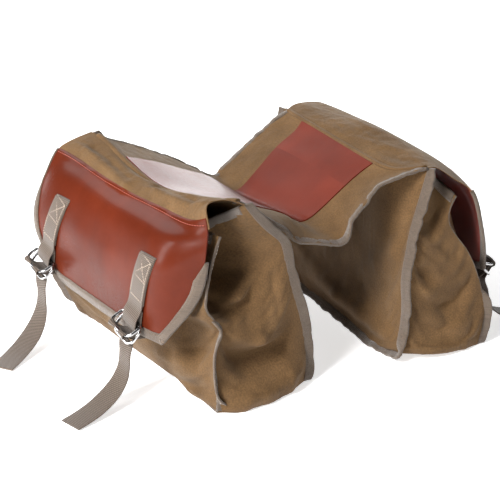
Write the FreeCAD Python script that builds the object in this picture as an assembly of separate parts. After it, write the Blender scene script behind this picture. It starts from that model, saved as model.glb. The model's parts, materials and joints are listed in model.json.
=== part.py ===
"""Throw-over saddle bag: two canvas panniers joined by a bridge panel.

Each bag is a front panel, a back panel and one gusset strip, with bound
seams that stand proud.  A flap (canvas, leather face, tape binding) closes
each bag and carries two webbing tabs; each tab holds a pair of D-rings that
a long webbing strap is threaded through.  The bridge folds at both bag seams
and along the valley in its middle.

Units mm, +Z up, the bags stand on Z = 0.  Origin: centre of the bounding
box at its base.
"""
import FreeCAD, Part
import json
import math
import os

V = FreeCAD.Vector
os.makedirs("parts", exist_ok=True)

# ----------------------------------------------------------------- sizes
BAG_WIDTH = 320.0          # along local Y
CANVAS = 2.0               # canvas panel, doubled seam allowance included
LEATHER = 1.5
TAPE = 1.2                 # one layer of binding tape
FIN = 12.0                 # how far a bound seam stands proud
FIN_T = 3.0
BIND = 12.0                # visible width of the binding tape
WEB_W = 30.0               # webbing width
WEB_T = 1.6
WIRE_R = 1.75              # D-ring wire radius
RING_IN = 33.0             # clear width inside a D-ring
RING_DEPTH = 20.0          # bar centre to bow centre
RING_BUNCH = 20.0          # width of the strap where it is gathered in the rings
FLAP_HALF = 165.0
FLAP_CUT_Y = 35.0          # chamfer of the flap's lower corners
FLAP_CUT_Z = 95.0
TAB_LEN = 104.0            # tab origin to the flap's hem
TAB_START = 8.0            # top of the webbing below that origin
BRIDGE_HALF = 143.0
PATCH_Y = (-88.0, 78.0)    # leather patch on the bridge

YAW = 5.602                # the bags splay a little
BAG_A_AT = (-139.3, 0.0)
BAG_B_AT = (139.3, -13.3)

# section of each bag, local X (front is -X) and Z, lowest point first
BAGS = {
    "a": dict(
        hinge=(-26.0, 236.0),
        front=[(-56, 0), (-60, 70), (-80, 140), (-66, 210)],
        back=[(56, 0), (58, 40), (42, 120), (26, 178), (-20, 224)],
        bottom=[(-56, 0), (56, 0)],
        mouth=[(-66, 210), (-20, 224)],
        strip=[(-30.0, 235.2), (-76, 226)],
        flap=[(-114, 190), (-114, 86)],
        anchor=[(-58.2, 10), (-59.6, 36)],
        # tab middle along Y, rise, lean (deg), swing of the tail (deg)
        tabs=dict(near=(-79.0, 2.0, 15.0, 8.0), far=(119.0, 9.0, 18.0, 30.0)),
        tail=[(-3, -14), (-7, -40), (-16, -62), (-38, -76), (-78, -79.5)],
    ),
    "b": dict(
        hinge=(64.0, 228.0),
        front=[(-50, 0), (-54, 60), (-40, 140), (-14, 199)],
        back=[(64, 12), (67, 100), (66, 217)],
        bottom=[(-50, 0), (30, 0), (64, 12)],
        mouth=[(-14, 199), (33, 229), (66, 217)],
        strip=[(60.2, 229.3), (34, 239), (-22, 211)],
        flap=[(-56, 160), (-70, 72)],
        anchor=[(-51.6, 10), (-53.3, 36)],
        tabs=dict(near=(-97.0, 0.0, 0.0, -6.0), far=(97.0, 0.0, 0.0, 6.0)),
        tail=[(-3, -12), (-7, -32), (-16, -46), (-38, -54), (-72, -56)],
    ),
}


# ------------------------------------------------------------ 2-D helpers
def unit(a, b):
    dx, dz = b[0] - a[0], b[1] - a[1]
    n = math.hypot(dx, dz)
    return dx / n, dz / n


def offset(pts, d):
    """Open polyline moved d to the left of its direction, mitred."""
    out = []
    n = len(pts)
    for i, p in enumerate(pts):
        if i == 0:
            ux, uz = unit(pts[0], pts[1])
            nx, nz, k = -uz, ux, 1.0
        elif i == n - 1:
            ux, uz = unit(pts[-2], pts[-1])
            nx, nz, k = -uz, ux, 1.0
        else:
            ax, az = unit(pts[i - 1], p)
            bx, bz = unit(p, pts[i + 1])
            nx, nz = -(az + bz), ax + bx
            m = math.hypot(nx, nz)
            nx, nz = nx / m, nz / m
            k = 1.0 / max(0.35, nx * -az + nz * ax)
        out.append((p[0] + nx * d * k, p[1] + nz * d * k))
    return out


def band(pts, d0, d1):
    return offset(pts, d0) + offset(pts, d1)[::-1]


def prism_y(poly, y0, y1):
    vs = [V(x, y0, z) for x, z in poly]
    return Part.Face(Part.makePolygon(vs + vs[:1])).extrude(V(0, y1 - y0, 0))


def prism_x(poly, x0, x1):
    vs = [V(x0, y, z) for y, z in poly]
    return Part.Face(Part.makePolygon(vs + vs[:1])).extrude(V(x1 - x0, 0, 0))


def fuse(shapes):
    s = shapes[0]
    if len(shapes) > 1:
        s = s.multiFuse(shapes[1:]).removeSplitter()
    return s


NODES = {}
INFO = {"joints": {}, "faces": {}, "ring_axes": {}}


def place(side, shape):
    """Local bag frame to the row frame."""
    s = shape.copy()
    if side == "b":
        s = s.mirror(V(0, 0, 0), V(1, 0, 0))
        s.rotate(V(0, 0, 0), V(0, 0, 1), -YAW)
        s.translate(V(BAG_B_AT[0], BAG_B_AT[1], 0))
    else:
        s.rotate(V(0, 0, 0), V(0, 0, 1), YAW)
        s.translate(V(BAG_A_AT[0], BAG_A_AT[1], 0))
    return s


def place_point(side, x, y, z):
    p = place(side, Part.Vertex(V(x, y, z)))
    return (p.Point.x, p.Point.y, p.Point.z)


def add(name, shape):
    NODES[name] = shape


# ------------------------------------------------------------------- bags
def bag(side):
    q = BAGS[side]
    half = BAG_WIDTH / 2
    front, back, mouth = q["front"], q["back"], q["mouth"]
    # panels lie inside their outer line; going up, the left is the front
    front_panel = prism_y(band(front, 0, -CANVAS), -half + CANVAS, half - CANVAS)
    back_panel = prism_y(band(back, 0, CANVAS), -half + CANVAS, half - CANVAS)
    bottom = prism_y(band(q["bottom"], 0, CANVAS), -half + CANVAS, half - CANVAS)
    bottom = bottom.cut(front_panel).cut(back_panel)
    bottom = max(bottom.Solids, key=lambda s: s.Volume)
    side_poly = front + mouth[1:-1] + back[::-1] + q["bottom"][1:-1][::-1]
    near = prism_y(side_poly, -half, -half + CANVAS)
    far = prism_y(side_poly, half - CANVAS, half)
    gusset = fuse([bottom, near, far])
    add("bag_%s_front_panel" % side, front_panel)
    add("bag_%s_back_panel" % side, back_panel)
    add("bag_%s_gusset" % side, gusset)

    # bound seams stand proud of the front and back edges, and run under
    def seam(line, out, x_edge, lift):
        strips = []
        taper = [1.0] * (len(line) - 1) + [0.4]      # narrower under the flap
        outer = [(x + out * k, z) for (x, z), k in zip(line, taper)]
        poly = line + outer[::-1]
        strips.append(prism_y(poly, -half - FIN_T, -half))
        strips.append(prism_y(poly, half, half + FIN_T))
        x0, x1 = sorted((x_edge, x_edge + out))
        b = Part.makeBox(x1 - x0, 2 * (half + FIN_T), FIN_T, V(x0, -half - FIN_T, lift))
        strips.append(b)
        return fuse(strips)

    f_low = front[0][0]
    b_low, b_lift = back[0]
    fs = seam(front, -FIN, f_low, 0.0).cut(front_panel).cut(gusset)
    bs = seam(back, FIN, b_low, b_lift).cut(back_panel).cut(gusset)
    add("bag_%s_front_seam_binding" % side, max(fs.Solids, key=lambda s: s.Volume))
    add("bag_%s_back_seam_binding" % side, max(bs.Solids, key=lambda s: s.Volume))

    # tape over the mouth's edge
    t = TAPE
    top = front[-1]
    d = unit(front[-2], front[-1])
    low = (top[0] - d[0] * BIND, top[1] - d[1] * BIND)
    cap = (top[0] + d[0] * t, top[1] + d[1] * t)
    bar = prism_y(band([low, cap], t, -CANVAS - t), -half + 5, half - 5).cut(front_panel)

    def inset(p, q, k):
        u = unit(p, q)
        return (p[0] + u[0] * k, p[1] + u[1] * k)

    rim = [inset(mouth[0], mouth[1], 5)] + mouth[1:-1] + [inset(mouth[-1], mouth[-2], 5)]
    edge = band(rim, t, -BIND)
    side_n = prism_y(edge, -half - t, -half + CANVAS + t).cut(near)
    side_f = prism_y(edge, half - CANVAS - t, half + t).cut(far)
    add("bag_%s_mouth_binding" % side, Part.makeCompound(bar.Solids + side_n.Solids + side_f.Solids))

    # ------------------------------------------------------------- flap
    strip, fl = q["strip"], q["flap"]
    line = strip + fl
    zb = fl[-1][1]
    xs = (-400, 400)

    def outline(grow):
        h = FLAP_HALF + grow
        z0 = zb - grow
        return [(-h, 400), (-h, z0 + FLAP_CUT_Z + grow * 0.3), (-h + FLAP_CUT_Y + grow * 0.2, z0),
                (h - FLAP_CUT_Y - grow * 0.2, z0), (h, z0 + FLAP_CUT_Z + grow * 0.3), (h, 400)]

    outer = prism_x(outline(0), *xs)
    big = prism_x(outline(t), *xs)
    inner = prism_x(outline(-BIND), *xs)
    # going from the hinge over the top and down, the outside is on the right
    canvas = prism_y(band(line, 0, CANVAS), -FLAP_HALF, FLAP_HALF).common(outer)
    lead = strip[-1]
    face_line = [lead] + fl
    leather = prism_y(band(face_line, 0, -LEATHER), -FLAP_HALF, FLAP_HALF).common(outer)
    leather = leather.cut(canvas)
    leather = max(leather.Solids, key=lambda s: s.Volume)
    ext = unit(line[-2], line[-1])
    end = (line[-1][0] + ext[0] * t, line[-1][1] + ext[1] * t)
    thick = prism_y(band(line[:-1] + [end], -LEATHER - t, CANVAS + t),
                    -FLAP_HALF - t, FLAP_HALF + t)
    binding = thick.common(big).cut(inner).cut(canvas).cut(leather)
    binding = max(binding.Solids, key=lambda s: s.Volume)
    add("flap_%s_canvas" % side, canvas)
    add("flap_%s_leather" % side, leather)
    add("flap_%s_binding" % side, binding)

    # ---------------------------------------- tabs, D-rings and straps
    d = unit(fl[-2], fl[-1])
    n = (d[1], -d[0])
    t0 = (fl[-1][0] - TAB_LEN * d[0] + LEATHER * n[0],
          fl[-1][1] - TAB_LEN * d[1] + LEATHER * n[1])

    def uv(u, v):
        return (t0[0] + u * d[0] + v * n[0], t0[1] + u * d[1] + v * n[1])

    tab_out = [(TAB_START, 0), (TAB_START, 3.2), (64, 3.2), (74, 9.2), (99, 9.2), (101.4, 7.0),
               (101.4, 3.8), (99.2, 1.7), (72, 1.7), (66, 0)]
    tab_in = [(72.4, 3.3), (75.2, 7.6), (98.4, 7.6), (99.8, 6.4), (99.8, 4.4), (98.6, 3.3)]
    bars = {"upper": (91.0, 5.5, 62.0), "lower": (97.0, 5.5, 35.0)}
    wraps = {}
    for k, (u, v, deg) in bars.items():
        c, s = math.cos(math.radians(deg)), math.sin(math.radians(deg))
        wraps[k] = ((u, v), (c, s), (u + RING_DEPTH * c, v + RING_DEPTH * s))
    (c1u, c1v) = wraps["upper"][2]
    w1 = wraps["upper"][1]
    n1 = (-w1[1], w1[0])
    rr = WIRE_R + 0.55 + WEB_T / 2
    turn = []
    for a in range(0, 271, 45):
        ca, sa = math.cos(math.radians(a)), math.sin(math.radians(a))
        turn.append((c1u + rr * (-ca * w1[0] + sa * n1[0]), c1v + rr * (-ca * w1[1] + sa * n1[1])))
    bx, w2 = wraps["lower"][0], wraps["lower"][1]
    s_out = RING_DEPTH - WIRE_R - 0.4 - WEB_T / 2
    s_in = s_out - 4.2
    p_out = (bx[0] + s_out * w2[0], bx[1] + s_out * w2[1])
    p_in = (bx[0] + s_in * w2[0], bx[1] + s_in * w2[1])
    threaded = [(124.0, -5.1), p_in] + turn + [p_out, (117.0, 10.2)]
    threaded = [uv(*p) for p in threaded]
    a0, a1 = q["anchor"]
    lay = [(a0[0] - 0.5, a0[1]), (a1[0] - 0.5, a1[1])]
    inbound = lay + [uv(136.0, -18.0), uv(123.5, -4.6)]
    pin = uv(94.0, 5.5)
    start = uv(116.6, 10.55)

    for where in ("near", "far"):
        y, rise, lean, swing = q["tabs"][where]

        def hang(shape):
            """From the middle of the flap to this tab's place and lean."""
            c = shape.copy()
            c.rotate(V(pin[0], 0, pin[1]), V(1, 0, 0), lean)
            c.translate(V(0, y, rise))
            return c

        body = prism_y([uv(*p) for p in tab_out], -WEB_W / 2, WEB_W / 2)
        hole = prism_y([uv(*p) for p in tab_in], -WEB_W, WEB_W)
        add("ring_tab_%s_%s" % (side, where), hang(body.cut(hole)))
        for k in ("upper", "lower"):
            (u, v), w, _ = wraps[k]
            add("%s_ring_%s_%s" % (k, side, where), hang(ring(uv(u, v), 0.0, d, n, w)))
            c = hang(Part.Vertex(V(uv(u, v)[0], 0, uv(u, v)[1]))).Point
            INFO["joints"]["%s_ring_%s_%s" % (k, side, where)] = place_point(side, c.x, c.y, c.z)
        la = math.radians(lean)
        o, e = place_point(side, 0, 0, 0), place_point(side, 0, math.cos(la), math.sin(la))
        INFO["ring_axes"]["%s_%s" % (side, where)] = [e[i] - o[i] for i in range(3)]
        # anchor run on the bag, gathered run through the rings, free tail
        first = prism_y(band(inbound, WEB_T / 2, -WEB_T / 2), -WEB_W / 2, WEB_W / 2)
        mid = prism_y(band(threaded, WEB_T / 2, -WEB_T / 2), -RING_BUNCH / 2, RING_BUNCH / 2)
        run = hang(fuse([first, mid]))
        s0 = hang(Part.Vertex(V(start[0], 0, start[1]))).Point
        k = (s0.z - 4.0) / -q["tail"][-1][1]         # the end lies on the floor
        line_t = [(s0.x, s0.z)] + [(s0.x + a, s0.z + b * k) for a, b in q["tail"]]
        end = prism_y(band(line_t, WEB_T / 2, -WEB_T / 2), s0.y - WEB_W / 2, s0.y + WEB_W / 2)
        end.rotate(V(s0.x + 1.0, s0.y, 0), V(0, 0, 1), swing)
        print("tail", side, where, round(end.BoundBox.ZMin, 2), "exit", [round(c, 1) for c in s0])
        add("strap_%s_%s" % (side, where), fuse([run, end]))

    # turn everything made here into the row frame
    for name in list(NODES):
        if name not in PLACED:
            NODES[name] = place(side, NODES[name])
            PLACED.add(name)
    hx, hz = q["hinge"]
    INFO["joints"]["seam_%s" % side] = place_point(side, hx, 0, hz)
    b0, b1 = q["bottom"][0], q["bottom"][1]
    INFO["faces"]["base_%s" % side] = place_point(side, (b0[0] + b1[0]) / 2, 0, 0)


def ring(at, y, d, n, w):
    """D-ring: bar along Y at (x, z), the bow w[0] down the flap, w[1] out."""
    wx = w[0] * d[0] + w[1] * n[0]
    wz = w[0] * d[1] + w[1] * n[1]

    def P(yy, s):
        return V(at[0] + wx * s, y + yy, at[1] + wz * s)

    h = RING_IN / 2 + WIRE_R
    rs, rb, D = 3.0, 9.0, RING_DEPTH
    k = 1 - math.sqrt(0.5)
    e = [Part.LineSegment(P(-h + rs, 0), P(h - rs, 0)).toShape(),
         Part.Arc(P(h - rs, 0), P(h - rs * k, rs * k), P(h, rs)).toShape(),
         Part.LineSegment(P(h, rs), P(h, D - rb)).toShape(),
         Part.Arc(P(h, D - rb), P(h - rb * k, D - rb * k), P(h - rb, D)).toShape(),
         Part.LineSegment(P(h - rb, D), P(-h + rb, D)).toShape(),
         Part.Arc(P(-h + rb, D), P(-h + rb * k, D - rb * k), P(-h, D - rb)).toShape(),
         Part.LineSegment(P(-h, D - rb), P(-h, rs)).toShape(),
         Part.Arc(P(-h, rs), P(-h + rs * k, rs * k), P(-h + rs, 0)).toShape()]
    path = Part.Wire(e)
    prof = Part.Wire([Part.Circle(P(0, 0), V(0, 1, 0), WIRE_R).toShape()])
    # start the sweep in the middle of the bar
    e0 = [Part.LineSegment(P(0, 0), P(h - rs, 0)).toShape()] + e[1:] + \
         [Part.LineSegment(P(-h + rs, 0), P(0, 0)).toShape()]
    path = Part.Wire(e0)
    s = path.makePipeShell([prof], True, True)
    if s.Volume < 0:
        s.reverse()
    want = math.pi * WIRE_R ** 2 * path.Length
    assert abs(s.Volume - want) < 0.02 * want, (s.Volume, want)
    return s


PLACED = set()
bag("a")
bag("b")


# ----------------------------------------------------------------- bridge
def vec(p):
    return V(*p)


A_n = vec(place_point("a", BAGS["a"]["hinge"][0], -BRIDGE_HALF, BAGS["a"]["hinge"][1]))
A_f = vec(place_point("a", BAGS["a"]["hinge"][0], BRIDGE_HALF, BAGS["a"]["hinge"][1]))
B_n = vec(place_point("b", BAGS["b"]["hinge"][0], -BRIDGE_HALF, BAGS["b"]["hinge"][1]))
B_f = vec(place_point("b", BAGS["b"]["hinge"][0], BRIDGE_HALF, BAGS["b"]["hinge"][1]))
VALLEY_F = V(-23.0, 143.0, 148.0)
nA = (A_f - A_n).cross(VALLEY_F - A_f)
nB = (B_f - B_n).cross(VALLEY_F - B_f)
VD = nA.cross(nB)
VD.normalize()
if VD.y < 0:
    VD = VD * -1
VALLEY_N = VALLEY_F - VD * ((VALLEY_F.y + 150.0) / VD.y)


def slab(p0, p1, p2, p3, up, t0, t1):
    """Plate on the plane of four points, from t0 to t1 along up."""
    ps = [p + up * t0 for p in (p0, p1, p2, p3)]
    return Part.Face(Part.makePolygon(ps + ps[:1])).extrude(up * (t1 - t0))


def half_bridge(side, Sn, Sf, Vn, Vf):
    up = (Sf - Sn).cross(Vf - Sf)
    up.normalize()
    if up.z < 0:
        up = up * -1
    along = Sf - Sn
    along.normalize()

    def edge_in(p, q, gap):
        d = q - p
        d.normalize()
        return p + d * gap

    gap = 4.5
    # keep both ends clear of their folds
    n0, n1 = edge_in(Sn, Vn, gap), edge_in(Vn, Sn, gap)
    f0, f1 = edge_in(Sf, Vf, gap), edge_in(Vf, Sf, gap)

    def lerp(p, q, k):
        return p + (q - p) * k

    w0 = (f0 - n0).Length
    w1 = (f1 - n1).Length

    def strip(y0, y1):
        """Part of the panel between two distances from its near edge."""
        a0, b0 = lerp(n0, f0, y0 / w0), lerp(n1, f1, y0 / w1)
        a1, b1 = lerp(n0, f0, y1 / w0), lerp(n1, f1, y1 / w1)
        return a0, b0, b1, a1

    canvas = slab(n0, n1, f1, f0, up, -CANVAS, 0)
    # a doubling on the underside is flush with the tape and takes the rack
    m = strip(BIND, w0 - BIND)
    a1, b1 = lerp(n0, f0, (w0 - BIND) / w0), lerp(n1, f1, (w1 - BIND) / w1)
    canvas = canvas.fuse(slab(m[0], m[1], b1, a1, up, -CANVAS - TAPE, -CANVAS)).removeSplitter()
    mid = (m[0] + m[1] + b1 + a1) * 0.25 - up * (CANVAS + TAPE)
    INFO["faces"]["bridge_%s" % side] = tuple(mid)
    INFO["up_%s" % side] = tuple(up)
    py0, py1 = PATCH_Y[0] + BRIDGE_HALF, PATCH_Y[1] + BRIDGE_HALF
    q = strip(py0, py1)
    patch = slab(*q, up, 0, LEATHER)
    tapes = []
    for y0, y1 in ((-TAPE, BIND), (w0 - BIND, w0 + TAPE)):
        yy0 = [y0, y1]
        a0, b0 = lerp(n0, f0, y0 / w0), lerp(n1, f1, (y0 if y0 < w0 / 2 else y0 - w0 + w1) / w1)
        a1, b1 = lerp(n0, f0, y1 / w0), lerp(n1, f1, (y1 if y1 < w0 / 2 else y1 - w0 + w1) / w1)
        tapes.append(slab(a0, b0, b1, a1, up, -CANVAS - TAPE, TAPE).cut(canvas))
    add("bridge_%s_canvas" % side, canvas)
    add("bridge_%s_leather" % side, patch)
    add("bridge_%s_binding" % side, Part.makeCompound([s for t in tapes for s in t.Solids]))
    return up


UP_A = half_bridge("a", A_n, A_f, VALLEY_N, VALLEY_F)
UP_B = half_bridge("b", B_n, B_f, VALLEY_N, VALLEY_F)
INFO["joints"]["valley"] = tuple((VALLEY_N + VALLEY_F) * 0.5)
INFO["axes"] = {"seam_a": tuple((A_f - A_n).normalize()), "seam_b": tuple((B_f - B_n).normalize()),
                "valley": tuple(VD)}

# ---------------------------------------------------- origin and export
lo = [1e9] * 3
hi = [-1e9] * 3
for s in NODES.values():
    b = s.BoundBox
    for i, (l, h) in enumerate(((b.XMin, b.XMax), (b.YMin, b.YMax), (b.ZMin, b.ZMax))):
        lo[i] = min(lo[i], l)
        hi[i] = max(hi[i], h)
shift = V(-(lo[0] + hi[0]) / 2, -(lo[1] + hi[1]) / 2, -lo[2])
print("box", [round(hi[i] - lo[i], 2) for i in range(3)], "shift", [round(c, 4) for c in shift])
for name, s in NODES.items():
    s.translate(shift)
    for sol in s.Solids:
        if not sol.isValid() or sol.Volume <= 0:
            print("BAD SOLID", name, sol.isValid(), sol.Volume)
    s.exportStep("parts/%s.step" % name)
INFO["shift"] = tuple(shift)
for k, p in INFO["joints"].items():
    INFO["joints"][k] = [round(p[i] + shift[i], 4) for i in range(3)]
for k, p in INFO["faces"].items():
    INFO["faces"][k] = [round(p[i] + shift[i], 4) for i in range(3)]
print("INFO " + json.dumps(INFO))
print(len(NODES), "nodes")
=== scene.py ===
"""Throw-over saddle bag: two canvas panniers, leather-faced flaps, a folding bridge.

Every soft piece is a sheet over a net of control points, given in the frame of
its own bag in millimetres: x from front (-) to back (+), y from near (-) to far
(+), z up.  The panels are then loosened by a short cloth simulation.
"""
import bpy
import json
import math
import numpy as np
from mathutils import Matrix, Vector, noise


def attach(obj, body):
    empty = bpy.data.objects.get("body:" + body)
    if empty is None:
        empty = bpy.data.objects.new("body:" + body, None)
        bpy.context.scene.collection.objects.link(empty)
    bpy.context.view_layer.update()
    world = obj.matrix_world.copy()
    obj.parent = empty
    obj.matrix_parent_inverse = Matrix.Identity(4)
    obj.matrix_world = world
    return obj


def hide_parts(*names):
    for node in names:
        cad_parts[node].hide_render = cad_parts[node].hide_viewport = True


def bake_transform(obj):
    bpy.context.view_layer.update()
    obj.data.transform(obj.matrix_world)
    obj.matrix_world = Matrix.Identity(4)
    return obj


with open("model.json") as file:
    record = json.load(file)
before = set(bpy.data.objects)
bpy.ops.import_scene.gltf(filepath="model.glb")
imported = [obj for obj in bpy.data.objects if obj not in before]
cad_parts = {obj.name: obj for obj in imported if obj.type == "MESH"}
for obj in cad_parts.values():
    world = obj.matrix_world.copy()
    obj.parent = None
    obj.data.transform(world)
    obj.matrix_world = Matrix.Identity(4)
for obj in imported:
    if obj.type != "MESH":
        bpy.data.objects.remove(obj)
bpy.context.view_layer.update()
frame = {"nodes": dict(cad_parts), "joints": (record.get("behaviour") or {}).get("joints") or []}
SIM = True
joints = {j["name"]: j for j in frame["joints"]}

# ------------------------------------------------------------------ frames
YAW = math.radians(5.602)


def turned(p, a):
    c, s = math.cos(a), math.sin(a)
    x, y = p[..., 0], p[..., 1]
    return np.stack([c * x - s * y, s * x + c * y, p[..., 2]], -1)


def raw_a(p):
    return turned(np.asarray(p, float), YAW) + np.array([-139.3, 0, 0])


def raw_b(p):
    return turned(np.asarray(p, float) * np.array([-1, 1, 1]), -YAW) + np.array([139.3, -13.3, 0])


SEAM_A = np.array(joints["flap_a_open"]["pos_m"]) * 1000
SEAM_B = np.array(joints["flap_b_open"]["pos_m"]) * 1000
SHIFT = SEAM_A - raw_a([-26.0, 0, 236.0])


def wa(p):
    return (raw_a(p) + SHIFT) / 1000


def wb(p):
    return (raw_b(p) + SHIFT) / 1000


def ww(p):
    return (np.asarray(p, float) + SHIFT) / 1000


def la(p):
    return turned(np.asarray(p, float) * 1000 - SHIFT - np.array([-139.3, 0, 0]), -YAW)


def lb(p):
    q = turned(np.asarray(p, float) * 1000 - SHIFT - np.array([139.3, -13.3, 0]), YAW)
    return q * np.array([-1, 1, 1])


WORLD = {"a": wa, "b": wb}
LOCAL = {"a": la, "b": lb}


# ----------------------------------------------------------------- splines
def cubic(knots, vals, at):
    """Natural cubic through vals (n, k) at knots, read at the places at."""
    x = np.asarray(knots, float)
    y = np.asarray(vals, float)
    n = len(x)
    if n == 2:
        w = ((np.asarray(at) - x[0]) / (x[1] - x[0]))[:, None]
        return y[0] * (1 - w) + y[1] * w
    h = np.diff(x)
    A = np.zeros((n, n))
    r = np.zeros((n, y.shape[1]))
    A[0, 0] = A[-1, -1] = 1
    for i in range(1, n - 1):
        A[i, i - 1], A[i, i], A[i, i + 1] = h[i - 1], 2 * (h[i - 1] + h[i]), h[i]
        r[i] = 6 * ((y[i + 1] - y[i]) / h[i] - (y[i] - y[i - 1]) / h[i - 1])
    m = np.linalg.solve(A, r)
    at = np.asarray(at, float)
    k = np.clip(np.searchsorted(x, at) - 1, 0, n - 2)
    t0, t1 = (x[k + 1] - at)[:, None], (at - x[k])[:, None]
    hk = h[k][:, None]
    return (m[k] * t0 ** 3 + m[k + 1] * t1 ** 3) / (6 * hk) + \
        (y[k] / hk - m[k] * hk / 6) * t0 + (y[k + 1] / hk - m[k + 1] * hk / 6) * t1


def curve(pts, n, even=True):
    """n points along the smooth curve through pts."""
    p = np.asarray(pts, float)
    d = np.r_[0, np.cumsum(np.linalg.norm(np.diff(p, axis=0), axis=1) ** 0.6)]
    f = cubic(d, p, np.linspace(0, d[-1], 500))
    if not even:
        return f[np.linspace(0, 499, n).astype(int)]
    s = np.r_[0, np.cumsum(np.linalg.norm(np.diff(f, axis=0), axis=1))]
    t = np.linspace(0, s[-1], n)
    return np.stack([np.interp(t, s, f[:, k]) for k in range(p.shape[1])], -1)


def net(rows, ku, kv, us, vs):
    """Surface through a net: rows[j][i] at (ku[i], kv[j]); gives (len(us), len(vs), 3)."""
    R = np.asarray(rows, float)                      # (nv, nu, 3)
    a = np.stack([cubic(ku, R[j], us) for j in range(R.shape[0])])   # (nv, US, 3)
    return np.stack([cubic(kv, a[:, i], vs) for i in range(a.shape[1])])


def fbm(p, scale, seed=0.0, octaves=3):
    """Smooth noise in about -1..1 at points p (.., 3) in mm, feature size scale."""
    q = np.asarray(p, float).reshape(-1, 3) / scale
    out = np.empty(len(q))
    for i, v in enumerate(q):
        a, f, s = 1.0, 1.0, 0.0
        for k in range(octaves):
            s += a * noise.noise(Vector((v[0] * f + seed, v[1] * f + 7.3 * k, v[2] * f - seed)))
            a *= 0.5
            f *= 2.03
        out[i] = s
    return out.reshape(np.asarray(p).shape[:-1])


def edge_fade(nu, nv, share=0.12, sides="lrbt"):
    u = np.linspace(0, 1, nu)[:, None]
    v = np.linspace(0, 1, nv)[None, :]
    w = np.ones((nu, nv))
    s = lambda x: np.clip(x / share, 0, 1) ** 2 * (3 - 2 * np.clip(x / share, 0, 1))
    if "l" in sides:
        w = w * s(u)
    if "r" in sides:
        w = w * s(1 - u)
    if "b" in sides:
        w = w * s(v)
    if "t" in sides:
        w = w * s(1 - v)
    return w


def normals(P):
    du = np.gradient(P, axis=0)
    dv = np.gradient(P, axis=1)
    n = np.cross(du, dv)
    return n / np.maximum(np.linalg.norm(n, axis=-1, keepdims=True), 1e-9)


def seg_dist(x, z, a, b):
    """Distance from (x, z) to the segment a-b, and share along it."""
    ax, az = a
    bx, bz = b
    L = (bx - ax) ** 2 + (bz - az) ** 2
    t = np.clip(((x - ax) * (bx - ax) + (z - az) * (bz - az)) / L, 0, 1)
    return np.hypot(x - ax - t * (bx - ax), z - az - t * (bz - az)), t


def folds(x, z, items):
    """Sum of soft ridges (height, width, from, to)."""
    s = np.zeros_like(x)
    for h, w, a, b in items:
        d, _ = seg_dist(x, z, a, b)
        s = s + h * np.exp(-0.5 * (d / w) ** 2)
    return s


# ------------------------------------------------------------------ meshes
def mesh(name, verts, faces, uvs, mats, idx=None):
    verts = np.array(verts, float).reshape(-1, 3)
    verts[:, 2] = np.maximum(verts[:, 2], 0.0001)
    me = bpy.data.meshes.new(name)
    me.from_pydata([tuple(v) for v in verts], [], faces)
    lay = me.uv_layers.new(name="UVMap")
    uvs = np.asarray(uvs, float)
    li = np.empty(len(me.loops), int)
    me.loops.foreach_get("vertex_index", li)
    lay.data.foreach_set("uv", uvs[li].astype(np.float32).ravel())
    for m in (mats if isinstance(mats, (list, tuple)) else [mats]):
        me.materials.append(m)
    if idx is not None:
        me.polygons.foreach_set("material_index", np.asarray(idx, np.int32))
    me.polygons.foreach_set("use_smooth", [True] * len(me.polygons))
    me.update()
    o = bpy.data.objects.new(name, me)
    bpy.context.scene.collection.objects.link(o)
    return o


def grid_uv(P):
    """UV in metres: mean arc length along each direction of the grid."""
    du = np.linalg.norm(np.diff(P, axis=0), axis=-1).mean(1)
    dv = np.linalg.norm(np.diff(P, axis=1), axis=-1).mean(0)
    u = np.r_[0, np.cumsum(du)]
    v = np.r_[0, np.cumsum(dv)]
    return np.stack(np.meshgrid(u, v, indexing="ij"), -1).reshape(-1, 2)


def cloth(name, P, mat, thick=1.2, sim=None, out=1.0, rim="lrbt", back_mat=None):
    """Sheet from a grid P (nu, nv, 3) in metres; thick in mm goes in from it.
    Gives the object and the settled grid."""
    nu, nv = P.shape[:2]
    quads = [(i * nv + j, (i + 1) * nv + j, (i + 1) * nv + j + 1, i * nv + j + 1)
             for i in range(nu - 1) for j in range(nv - 1)]
    uv = grid_uv(P)
    if sim and SIM:
        t = mesh("settling", P, quads, uv, mat)
        P = settle(t, nu, nv, **sim)
        bpy.data.objects.remove(t)
    n = nu * nv
    Q = P - normals(P) * (thick / 1000 * out)
    front = quads if out > 0 else [f[::-1] for f in quads]
    back = [tuple(k + n for k in f[::-1]) for f in front]
    ring = []
    if "b" in rim:
        ring.append([i * nv for i in range(nu)])
    if "r" in rim:
        ring.append([(nu - 1) * nv + j for j in range(nv)])
    if "t" in rim:
        ring.append([i * nv + nv - 1 for i in range(nu - 1, -1, -1)])
    if "l" in rim:
        ring.append([j for j in range(nv - 1, -1, -1)])
    side = []
    for r in ring:
        for a, b in zip(r[:-1], r[1:]):
            f = (b, a, a + n, b + n)
            side.append(f if out > 0 else f[::-1])
    faces = front + back + side
    mats = [mat] if back_mat is None else [mat, back_mat]
    idx = None if back_mat is None else [0] * len(front) + [1] * (len(back) + len(side))
    o = mesh(name, np.concatenate([P.reshape(-1, 3), Q.reshape(-1, 3)]), faces, np.concatenate([uv, uv]), mats, idx)
    me = o.data
    rims = {frozenset(e) for r in ring for a, b in zip(r[:-1], r[1:]) for e in ((a, b), (a + n, b + n))}
    sharp = me.attributes.new("sharp_edge", "BOOLEAN", "EDGE") if "sharp_edge" not in me.attributes else me.attributes["sharp_edge"]
    sharp.data.foreach_set("value", [frozenset(e.vertices) in rims for e in me.edges])
    me.update()
    return o, P


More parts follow.
